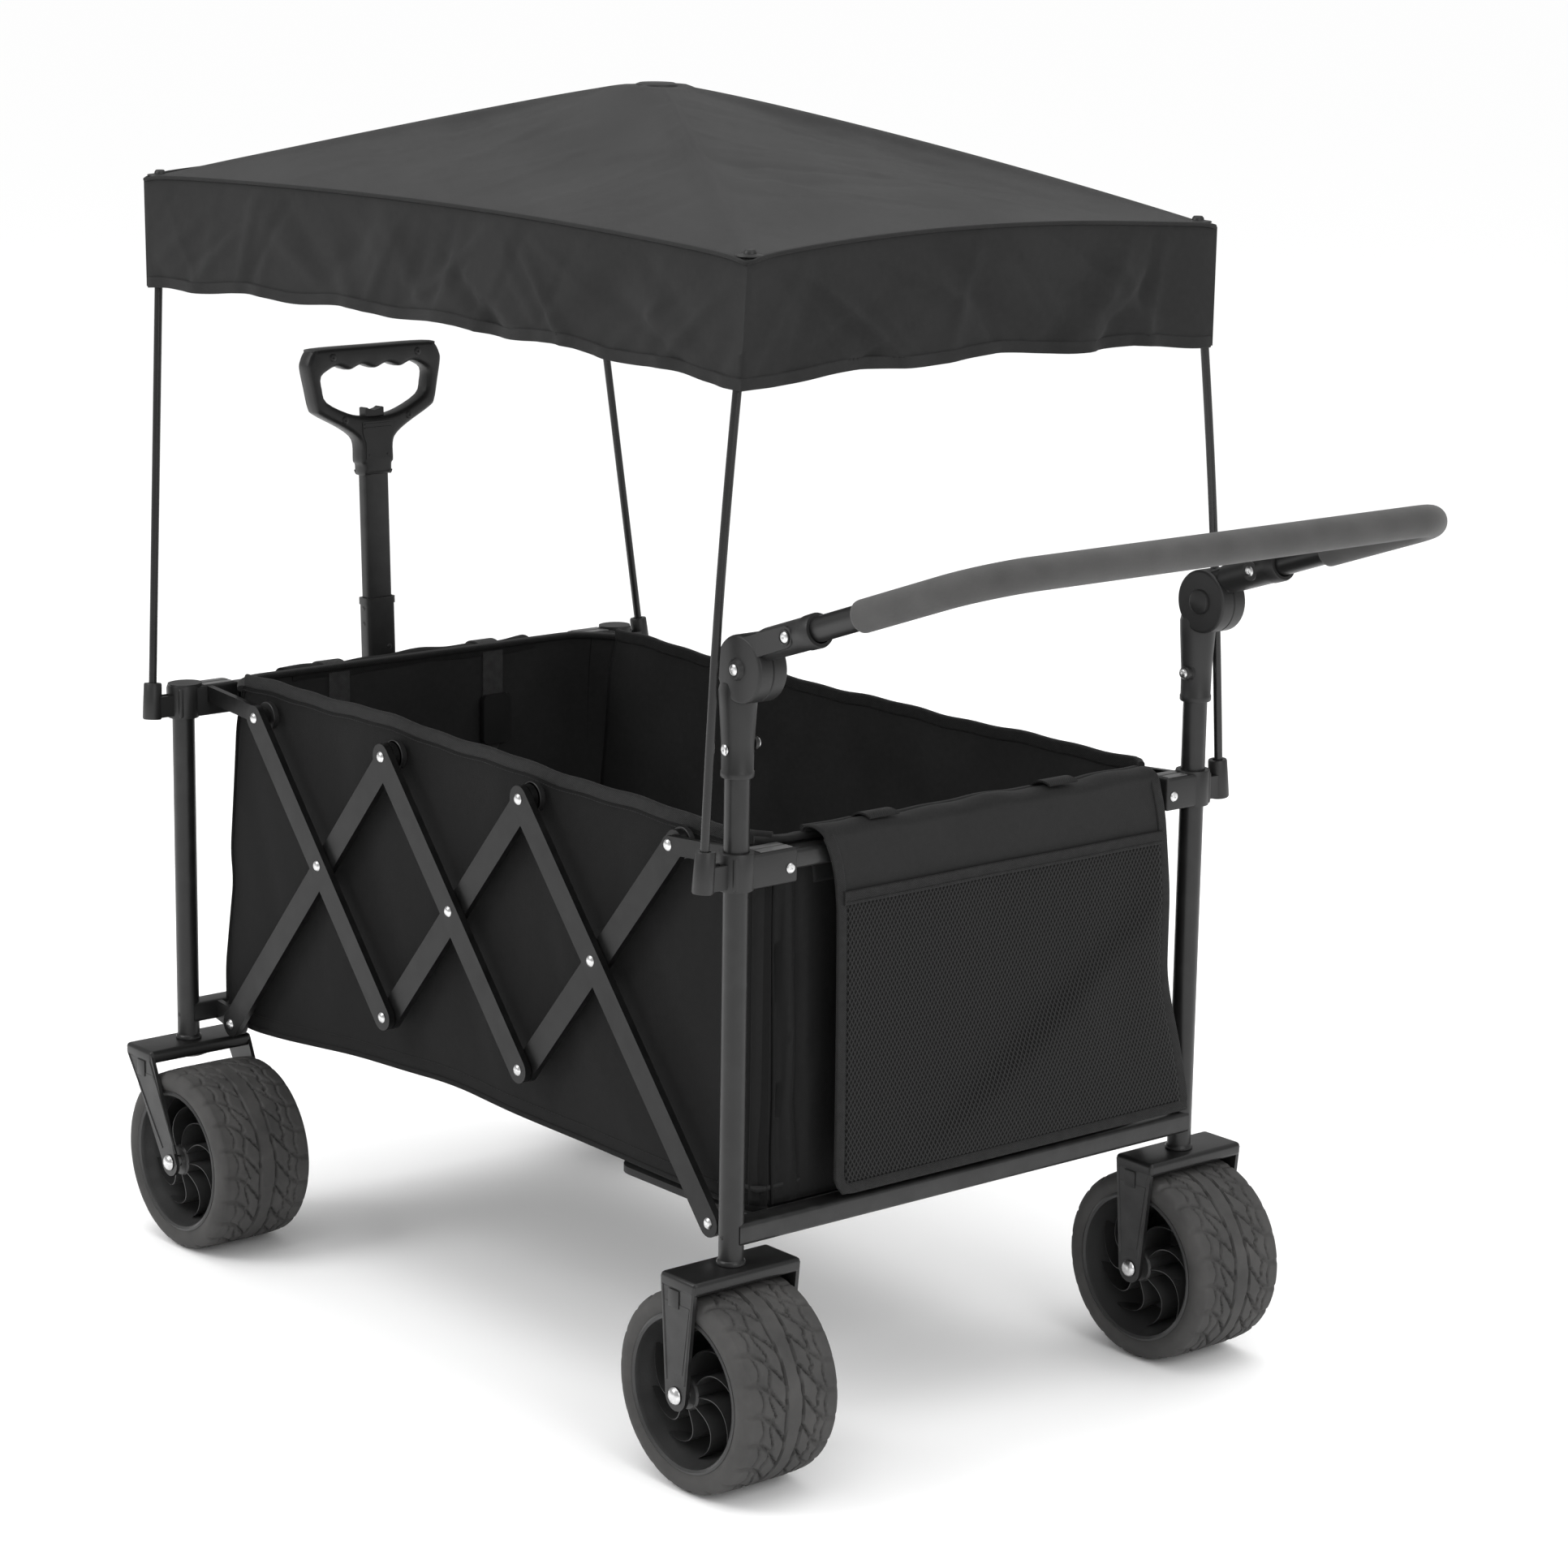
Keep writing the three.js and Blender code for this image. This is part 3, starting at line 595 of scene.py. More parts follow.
def tread_depth(turn, y):
    """How far the tread is cut: waving grooves beside the centre rib, hooked slots to the shoulders."""
    phase = turn * TREAD_PITCHES / TAU
    side = 1 if y > 0 else -1
    out = abs(y)
    wave = 0.0012 * math.sin(TAU * phase / 3 + side)
    depth = groove(out - TREAD_HALF - side * wave, 0.0012, 0.0032)
    if out > TREAD_HALF:
        reach = (out - TREAD_HALF) / SLOT_REACH
        hooked = phase + side * 1.15 * math.sin(math.pi / 2 * min(1, reach))
        local = (hooked + (0.5 if side > 0 else 0)) % 1
        depth = max(depth, groove(min(local, 1 - local), 0.060 + 0.02 * reach, 0.0034 - 0.0014 * reach))
        swing = 0.0030 * math.sin(math.pi * (2 * local - 1)) * (1 if math.floor(hooked) % 2 else -0.5)
        depth = max(depth, groove(out - 0.0235 - swing, 0.0012, 0.0028))
        rim = out - 0.0345 - 0.0015 * math.cos(TAU * local)
        depth = max(depth, groove(rim, 0.0011, 0.0020))
    return depth


def tyre_profile():
    """Section from one bead over the widest point, the shoulder and the crown to the other bead."""
    profile = []
    for i in range(7):
        rise = math.sin(i / 6 * math.pi / 2)
        profile.append((BEAD[0] + (WIDEST[0] - BEAD[0]) * i / 6, BEAD[1] + (WIDEST[1] - BEAD[1]) * rise))
    for i in range(1, 11):
        turn = i / 10 * math.pi / 2
        profile.append((WIDEST[0] + (SHOULDER[0] - WIDEST[0]) * math.sin(turn),
                        WIDEST[1] + (SHOULDER[1] - WIDEST[1]) * (1 - math.cos(turn)) ** 0.85))
    crown_from = SHOULDER[1]
    for i in range(1, CROWN_STEPS):
        y = crown_from * (1 - 2 * i / CROWN_STEPS)
        profile.append((WHEEL_R - 0.0015 * (y / crown_from) ** 6, y))
    other_side = [(r, -y) for r, y in profile if y < crown_from + 1e-6]
    return profile + other_side[::-1]


def tyre_shape(origin):
    """Rounded carcass with beads, shoulders and a cut tread."""
    bm = bmesh.new()
    rings = []
    for radius, y in tyre_profile():
        ring = []
        for i in range(TREAD_SEGMENTS):
            turn = TAU * i / TREAD_SEGMENTS
            cut = tread_depth(turn, y) if radius > WHEEL_R - 0.006 else 0
            r = radius - cut * min(1, (radius - WHEEL_R + 0.006) / 0.004)
            ring.append(bm.verts.new(origin + Vector((r * math.cos(turn), y, r * math.sin(turn)))))
        rings.append(ring)
    join_rings(bm, rings, closed=True)
    return bm


FIN_COUNT = 9
FIN_STEPS = 12
FIN_HALF = 0.0008


def add_fin(bm, origin, turn, side):
    """One curved fin between the boss and the rim, standing up from the web."""
    layers = []
    for i in range(FIN_STEPS + 1):
        t = i / FIN_STEPS
        radius = 0.015 + 0.0455 * t
        angle = turn + side * (0.80 * t * t - 0.14 * math.sin(t * math.pi))
        radial = Vector((math.cos(angle), 0, math.sin(angle)))
        tangent = Vector((-math.sin(angle), 0, math.cos(angle))) * FIN_HALF
        foot = origin + radial * radius + Vector((0, side * 0.004, 0))
        top = foot + Vector((0, side * (0.0415 - 0.009 * t ** 1.5), 0))
        corners = (foot - tangent, foot + tangent, top + tangent * 0.6, top - tangent * 0.6)
        layers.append([bm.verts.new(p) for p in corners])
    join_rings(bm, layers)
    cap_ends(bm, layers)


def hub_shape(origin):
    """Deep-dish wheel centre with a conical rim on both faces and curved fins."""
    half = TYRE_HALF - 0.0012
    outer = [(0.0688, half - 0.004), (0.0705, half), (0.0685, half + 0.0008), (0.0662, half - 0.0005),
             (0.0650, half - 0.004), (0.0645, half - 0.007), (0.0618, half - 0.013), (0.0560, 0.016),
             (0.0520, 0.0085), (0.0185, 0.0085), (0.0165, 0.0105), (0.0155, half - 0.006),
             (0.0140, half - 0.004), (0.0056, half - 0.004)]
    bm = bmesh.new()
    add_lathe(bm, outer + [(r, -h) for r, h in outer[::-1]], origin, (0, 1, 0), 72)
    for side in (-1, 1):
        for i in range(FIN_COUNT):
            add_fin(bm, origin, TAU * i / FIN_COUNT, side)
    return bm


FORK_HALF_Y = size("front_left_fork").y / 2 + 0.0025
FORK_HALF_X = size("rear_left_fork").x / 2
CROWN_DEPTH = 0.013


def cap_nut_shape(origin):
    """Domed cap nut on each end of an axle."""
    half = FORK_HALF_Y
    cap = [(0, half + 0.0042), (0.003, half + 0.0040), (0.0062, half + 0.0026), (0.0078, half + 0.0008),
           (0.0080, half + 0.0001), (0.0050, half + 0.0001)]
    bm = bmesh.new()
    add_lathe(bm, cap + [(r, -h) for r, h in cap[::-1]], origin, (0, 1, 0), 32)
    return bm


def tapered_outline(crown_x, axle_x, top, inset, eye, steps=10):
    """Outline of a fork arm in X and Z, drawn in by inset all round."""
    points = [(crown_x - FORK_HALF_X + inset, top)]
    for i in range(steps + 1):
        turn = math.pi + math.pi * i / steps
        points.append((axle_x + (eye - inset) * math.cos(turn), WHEEL_R + (eye - inset) * math.sin(turn)))
    points.append((crown_x + FORK_HALF_X - inset, top))
    return points


def fork_shape(crown_x, axle_x, y):
    """Pressed steel fork: folded crown, tapered arms with a raised panel and two ribs by the fold."""
    bm = bmesh.new()
    high = FORK_TOP
    add_box(bm, at(crown_x - FORK_HALF_X, y - FORK_HALF_Y, high - CROWN_DEPTH),
            at(crown_x + FORK_HALF_X, y + FORK_HALF_Y, high), 0.0040, 4)
    panel_x = crown_x + (axle_x - crown_x) * 0.16
    panel_top = high - 0.024
    for face in (-1, 1):
        near, far = y + face * (FORK_HALF_Y - 0.0045), y + face * (FORK_HALF_Y - 0.0008)
        add_prism(bm, tapered_outline(crown_x, axle_x, high - 0.004, 0.0012, 0.015), in_xz, (near, far),
                  0.0007)
        panel = []
        for x, z in tapered_outline(panel_x, axle_x, panel_top, 0.0072, 0.0165):
            if z < WHEEL_R + 0.02:
                z = max(z, WHEEL_R + 0.018 + (x - axle_x) ** 2 * 30)
            panel.append((x, z))
        add_prism(bm, panel, in_xz, (far - 0.0003, far + 0.0011), 0.0006)
        add_box(bm, at(panel_x - 0.011, far - 0.0003, panel_top - 0.004),
                at(panel_x + 0.003, far + 0.0011 * face, high - 0.012), 0.0004)
        for rib_x, foot_x in ((crown_x - FORK_HALF_X + 0.004, axle_x - 0.012),
                              (crown_x + FORK_HALF_X - 0.004, axle_x + 0.012)):
            rib = [at(rib_x, far, high - 0.010), at(foot_x, far, WHEEL_R + 0.012)]
            add_sweep(bm, rib, [(a * 0.0011, b * 0.0009) for a, b in circle(1, 8)], up=(0, 1, 0))
    return bm


SWIVEL_STACK = ((0.0, 0.020, 0.0016), (0.0016, 0.0165, 0.0016), (0.0032, 0.009, 0.0022))


def swivel_shape(crown_x, y):
    """Washers and bolt head of the swivel under the crown of a caster."""
    bm = bmesh.new()
    for drop, radius, thick in SWIVEL_STACK:
        profile = [(0, 0), (radius, 0), (radius, -thick), (0, -thick)]
        add_lathe(bm, profile, at(crown_x, y, FORK_TOP - 0.0125 - drop), (0, 0, 1), 28)
    return bm


for place, end, side in CORNERS:
    origin = centre(f"{place}_tyre")
    crown_x = end * POST_X
    fork = fork_shape(crown_x, origin.x - ORIGIN_X, origin.y)
    fork_body = {-1: "left_caster", 1: "right_caster"}[side] if end < 0 else "rear_frame"
    piece(f"{place}_tread_tyre", tyre_shape(origin), RUBBER, f"{place}_wheel", f"{place}_tyre", 50)
    piece(f"{place}_finned_hub", hub_shape(origin), HUB, f"{place}_wheel", f"{place}_hub", 30)
    piece(f"{place}_pressed_fork", fork, STEEL, fork_body, f"{place}_fork", 30)
    piece(f"{place}_cap_nuts", cap_nut_shape(origin), ZINC, fork_body, f"{place}_axle", 30)
    if end < 0:
        piece(f"{place}_swivel_bolt", swivel_shape(crown_x, origin.y), ZINC, "front_frame")


# ---- end frames ----

BAR_HALF = 0.0125
LUG_R = 0.0118
LUG_Y = (0.2362, 0.2418)
EAR_R = 0.0098
EAR_Y = (0.0186, 0.0234)
FOOT_PIVOT_Z = 0.217
POST_TOP = {-1: 0.550, 1: 0.680}


def end_frame(end):
    """Round posts with a foot collar and a screw, and a rounded flat tube between them."""
    x = end * POST_X
    bm = bmesh.new()
    for _, side in SIDES:
        y = side * POST_Y
        add_rod(bm, at(x, y, POST_BOTTOM), at(x, y, POST_TOP[end]), POST_R, 32)
        add_lathe(bm, [(POST_R, 0), (0.0128, 0), (0.0128, 0.0018), (0.0119, 0.0035), (POST_R, 0.0042)],
                  at(x, y, POST_BOTTOM), (0, 0, 1), 32)
        add_screw(bm, at(x, y - 0.0105, POST_BOTTOM + 0.025), (0, -1, 0), 0.0022, 0.001)
    section = rounded_rectangle(0.024, RAIL_Z[1] - RAIL_Z[0], 0.004)
    middle = (RAIL_Z[0] + RAIL_Z[1]) / 2
    add_sweep(bm, [at(x, -POST_Y, middle), at(x, POST_Y, middle)], section)
    return bm


def lattice_lug(bm, end, side_name, side):
    """Bent tab that carries the foot rivet of a lattice."""
    low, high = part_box(f"{side_name}_bar_{'b1' if end < 0 else 'a3'}")
    foot_x = (low.x + BAR_HALF if end < 0 else high.x - BAR_HALF) - ORIGIN_X
    turns = [math.pi / 2 + math.pi * i / 12 for i in range(13)]
    outline = [(foot_x + end * LUG_R * math.cos(turn), FOOT_PIVOT_Z + LUG_R * math.sin(turn))
               for turn in turns]
    root_x = end * (POST_X - 0.004)
    outline += [(root_x, RAIL_Z[0] + 0.0005), (root_x, RAIL_Z[1] - 0.0005)]
    add_prism(bm, outline, in_xz, [side * y for y in LUG_Y], 0.0008)


def pull_ear(bm, side):
    """Plate of the clevis that the pull handle hangs in."""
    turns = [math.pi * (0.5 + i / 10) for i in range(11)]
    middle_x = PULL_PIVOT.x - ORIGIN_X
    outline = [(middle_x + EAR_R * math.cos(turn), PULL_PIVOT.z + EAR_R * math.sin(turn)) for turn in turns]
    outline += [(-POST_X, RAIL_Z[0] + 0.001), (-POST_X, RAIL_Z[1] - 0.001)]
    add_prism(bm, outline, in_xz, [side * y for y in EAR_Y], 0.0008)


def top_tube(end_name):
    low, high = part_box(f"{end_name}_top_rail")
    middle = (low + high) / 2
    bm = bmesh.new()
    add_sweep(bm, [Vector((middle.x, y, middle.z)) for y in (low.y, high.y)],
              rounded_rectangle(high.x - low.x, high.z - low.z, 0.004))
    return bm


for end_name, end in ENDS:
    welded = end_frame(end)
    for side_name, side in SIDES:
        lattice_lug(welded, end, side_name, side)
    if end < 0:
        pull_ear(welded, -1)
        pull_ear(welded, 1)
    piece(f"{end_name}_welded_frame", welded, STEEL, FRAME_BODY[end], f"{end_name}_frame")
for end_name, end in ENDS:
    piece(f"{end_name}_top_tube", top_tube(end_name), STEEL, FRAME_BODY[end], f"{end_name}_top_rail")


# ---- corner brackets and canopy rods ----

ROD_R = 0.0045
ROD_SHOWN_R = 0.0039
SOCKET_Y = 0.305
SOCKET_Z = (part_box("rear_left_bracket")[0].z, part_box("rear_left_bracket")[1].z)
LONG_ARM = 0.0565
SHORT_ARM = 0.0455
SCREW_FROM_END = 0.0085
BRACKET_HALF_X = 0.0136


def rod_line(place):
    """Foot and tip of a canopy rod's axis."""
    low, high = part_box(f"{place}_canopy_rod")
    near, far = sorted((low.y, high.y), key=abs)
    side = math.copysign(1, far)
    foot = Vector((high.x - ROD_R, far - side * ROD_R, low.z))
    tip = Vector((low.x + ROD_R, near + side * ROD_R, high.z))
    return foot, tip


def bracket_shape(end, side, arm_length, foot, tip):
    """Moulded corner: body round the post, arm along the rail, lipped rod socket, cap at the front."""
    x = end * POST_X
    y = side * POST_Y
    low, high = BRACKET_Z
    tall = high - low
    bm = bmesh.new()
    collar = [(0.0113, 0), (0.0152, 0), (0.0158, 0.0012), (0.0158, tall - 0.0012), (0.0152, tall),
              (0.0113, tall)]
    add_lathe(bm, collar, at(x, y, low), (0, 0, 1), 40)
    add_box(bm, at(x - BRACKET_HALF_X, side * (POST_Y + 0.0120), low + 0.0008),
            at(x + BRACKET_HALF_X, side * (POST_Y - arm_length), high - 0.0018), 0.0026, 3)
    if end < 0:
        turns = [TAU * i / 36 for i in range(36)]
        cap = [(x + 0.0150 * math.cos(turn), side * (POST_Y - 0.002) + 0.0175 * math.sin(turn))
               for turn in turns]
        add_prism(bm, cap, at, (high - 0.002, high + 0.0012), 0.0012, 3)
    axis = (tip - foot).normalized()
    length = SOCKET_Z[1] - SOCKET_Z[0] - 0.0055
    socket = [(0.0049, 0.006), (0.0049, length), (0.0082, length), (0.0088, length - 0.0012),
              (0.0092, length * 0.5), (0.0094, 0.0014), (0.0086, 0), (0, 0), (0, 0.006)]
    add_lathe(bm, socket[::-1], foot - axis * ROD_R, axis, 32)
    web = (side * (POST_Y + 0.0135), side * (SOCKET_Y - 0.006))
    for shift in (-0.0048, 0.0048):
        add_box(bm, at(x + shift - 0.0016, web[0], low + 0.003), at(x + shift + 0.0016, web[1], high - 0.009),
                0.0006)
    add_box(bm, at(x - 0.006, web[0], low + 0.010), at(x + 0.006, web[1], low + 0.014), 0.0006)
    return bm


def highlight_plate_shape(end, side, arm_length):
    """Pale plates on the top of a bracket's arm, a painted highlight of the arm's shiny top, with a slot left
    between them.
    """
    bm = bmesh.new()
    high = BRACKET_Z[1]
    for near, far in ((-0.0105, -0.0015), (0.0015, 0.0105)):
        add_box(bm, at(end * POST_X + near, side * (POST_Y - 0.0175), high - 0.0035),
                at(end * POST_X + far, side * (POST_Y - arm_length + 0.004), high - 0.0011), 0.0006)
    return bm


def canopy_rod_shape(foot, tip):
    """Thin rod; the rear ones bow under the cover's tension."""
    bow = Vector((0.004, -0.009 if foot.y < 0 else 0.002, 0)) if foot.x > ORIGIN_X else Vector((0, 0, 0))
    path = [foot.lerp(tip, i / 16) + bow * math.sin(math.pi * i / 16) for i in range(17)]
    bm = bmesh.new()
    add_sweep(bm, path, circle(ROD_SHOWN_R, 20), up=(1, 0, 0))
    return bm


for place, end, side in CORNERS:
    foot, tip = rod_line(place)
    body = FRAME_BODY[end]
    arm_length = SHORT_ARM if place == "rear_right" else LONG_ARM
    bracket = bracket_shape(end, side, arm_length, foot, tip)
    piece(f"{place}_moulded_corner", bracket, PLASTIC, body, f"{place}_bracket")
    piece(f"{place}_rod", canopy_rod_shape(foot, tip), ROD_STEEL, body, f"{place}_canopy_rod", 60)
    # Pale plates on the arm's top: a painted highlight.
    piece(f"{place}_corner_painted_highlight", highlight_plate_shape(end, side, arm_length), INSERT_HIGHLIGHT, body)
    outward = at(end * (POST_X + BRACKET_HALF_X), side * (POST_Y - arm_length + SCREW_FROM_END), 0.5395)
    screws(f"{place}_corner_screw", body, [(outward, (end, 0, 0))])


# ---- scissor lattice ----

BAR_REACH = 0.166
LONG_LEG = 0.260
LINK_HALF = 0.008
BARS = ("a1", "a2", "a3", "b1", "b2", "b3")


def stadium(a, b, half, steps=10):
    """Outline of a round-ended bar between two pivots, in X and Z."""
    a, b = Vector(a), Vector(b)
    angle = math.atan2(b.y - a.y, b.x - a.x)
    points = []
    for start, middle in ((-0.5, b), (0.5, a)):
        for i in range(steps + 1):
            turn = angle + (start + i / steps) * math.pi
            points.append((middle.x + half * math.cos(turn), middle.y + half * math.sin(turn)))
    return points


def bar_ends(node, rising, half=BAR_HALF):
    """The two pivots of a bar, read from its box."""
    low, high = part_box(node)
    left, right = low.x - ORIGIN_X + half, high.x - ORIGIN_X - half
    bottom, top = low.z + half, high.z - half
    return ((left, bottom), (right, top)) if rising else ((left, top), (right, bottom))


def rivet(bm, place, y, facing, radius=0.0052):
    """Domed head at a pivot of the lattice, facing out from the depth y."""
    head = [(0, 0.0024), (radius * 0.5, 0.0022), (radius * 0.85, 0.0013), (radius, 0.0002), (radius, -0.001),
            (0, -0.001)]
    add_lathe(bm, head, in_xz(*place, y), (0, facing, 0), 24)


def spacer_shape(place, side, layer_y):
    """Black plastic disc on the wall side of a pivot."""
    low, high = sorted((side * (layer_y - 0.0065), side * (layer_y - 0.0008)))
    thick = high - low
    profile = [(0, 0), (0.0135, 0), (0.0142, 0.0006), (0.0142, thick - 0.0006), (0.0135, thick), (0, thick)]
    bm = bmesh.new()
    add_lathe(bm, profile, in_xz(*place, low), (0, 1, 0), 28)
    return bm


def flat_bar(name, node, body, ends, half):
    """Flattened tube: a plate with well rounded long edges."""
    low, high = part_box(node)
    bm = bmesh.new()
    add_prism(bm, stadium(*ends, half), in_xz, (low.y, high.y), 0.0021, 3)
    piece(name, bm, SHADED_BAR_STEEL, body, node)


for side_name, side in SIDES:
    outer_y = max(abs(corner.y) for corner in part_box(f"{side_name}_bar_a1"))
    inner_y = min(abs(corner.y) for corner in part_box(f"{side_name}_bar_b1"))
    for bar in BARS:
        node = f"{side_name}_bar_{bar}"
        body = f"{side_name}_{bar}"
        falling = bar.startswith("a")
        left, right = bar_ends(node, not falling)
        flat_bar(f"{side_name}_flat_bar_{bar}", node, body, (left, right), BAR_HALF)
        bm = bmesh.new()
        if falling:
            share = BAR_REACH / (BAR_REACH + LONG_LEG) if bar == "a3" else 0.5
            crossing = [near + (far - near) * share for near, far in zip(left, right)]
            for place in (crossing, left, right):
                rivet(bm, place, side * outer_y, side)
        else:
            rivet(bm, left, side * (inner_y - 0.0014), -side)
            if bar == "b1":
                rivet(bm, left, side * (inner_y + 0.0065), side)
        piece(f"{side_name}_rivets_{bar}", bm, ZINC, body)
        disc = spacer_shape(left if falling else right, side, inner_y)
        piece(f"{side_name}_spacer_{bar}", disc, PLASTIC, body)
    for end_name, end in ENDS:
        node = f"{end_name}_{side_name}_link"
        ends = bar_ends(node, end > 0, LINK_HALF)
        flat_bar(f"{end_name}_{side_name}_flat_link", node, node, ends, LINK_HALF)
        if end > 0:
            bm = bmesh.new()
            rivet(bm, ends[0], side * outer_y, side)
            piece(f"rear_{side_name}_link_rivet", bm, ZINC, node)


# ---- push handle ----

PUSH_ANGLE = math.radians(18.7)
ARM = Vector((math.cos(PUSH_ANGLE), 0, math.sin(PUSH_ANGLE)))
ARM_UP = Vector((-math.sin(PUSH_ANGLE), 0, math.cos(PUSH_ANGLE)))
ARM_LIFT = (0.0150, 0.0176)
PUSH_REACH = 0.304
PUSH_BEND = 0.051
FOAM_R = 0.0138
FOAM_START = 0.151
PUSH_TUBE_R = 0.0108
PUSH_TUBE_START = 0.036
ARM_SCREW = 0.0665
HOUSING_Y = (0.2535, 0.2685, 0.2835)
HOUSING_R = 0.029
HINGE_NECK_Z = 0.622
HINGE_KNOB_Z = 0.6495
PUSH_SCREW_R = 0.0048
ARM_SOCKET_END = 0.096


def on_arm(along, y, lift=0.0):
    """Point along the handle's arm, measured from the hinge."""
    rise = ARM_LIFT[0] + (ARM_LIFT[1] - ARM_LIFT[0]) * min(1, along / PUSH_REACH)
    return PUSH_PIVOT + ARM * along + ARM_UP * (rise + lift) + Vector((0, y, 0))


def handle_path(start):
    """Path of the bent tube from one arm to the other, from a distance along each arm."""
    corners = [on_arm(start, -POST_Y), on_arm(PUSH_REACH, -POST_Y), on_arm(PUSH_REACH, POST_Y),
               on_arm(start, POST_Y)]
    path = bend(corners, PUSH_BEND, 18)
    dense = [path[0]]
    for point in path[1:]:
        steps = max(1, round((point - dense[-1]).length / 0.03))
        last = dense[-1]
        dense += [last.lerp(point, (i + 1) / steps) for i in range(steps)]
    return dense


bm = bmesh.new()
add_sweep(bm, handle_path(PUSH_TUBE_START), circle(PUSH_TUBE_R, 28), up=ARM_UP)
piece("push_tube", bm, STEEL, "push_handle", "push_handle_tube", 60)
bm = bmesh.new()
foam_path = handle_path(FOAM_START)
foam_start = [foam_path[0].lerp(foam_path[1], t) for t in (0.03, 0.1, 0.2)]
foam_finish = [foam_path[-1].lerp(foam_path[-2], t) for t in (0.2, 0.1, 0.03)]
foam_path = [foam_path[0], *foam_start, *foam_path[1:-1], *foam_finish, foam_path[-1]]
add_sweep(bm, foam_path, circle(FOAM_R, 32), up=ARM_UP,
          taper=lambda t: 1 - 0.10 * math.exp(-(min(t, 1 - t) * 90) ** 2))
piece("foam_sleeve", bm, FOAM, "push_handle", "push_handle_foam", 60)


def beside_arm(along, lift, across):
    """Same as on_arm, for outlines drawn in the plane of the arm."""
    return on_arm(along, across, lift)


def hinge_disc(y0, y1, radius=HOUSING_R, edge=0.003):
    """Round half of the hinge with a rolled outer edge."""
    span = y1 - y0
    profile = [(0, 0), (radius - 0.0008, 0), (radius, 0.0008), (radius, span - edge)]
    for i in range(1, 6):
        turn = i / 5 * math.pi / 2
        profile.append((radius - edge * (1 - math.cos(turn)), span - edge * (1 - math.sin(turn))))
    profile.append((0, span))
    return profile


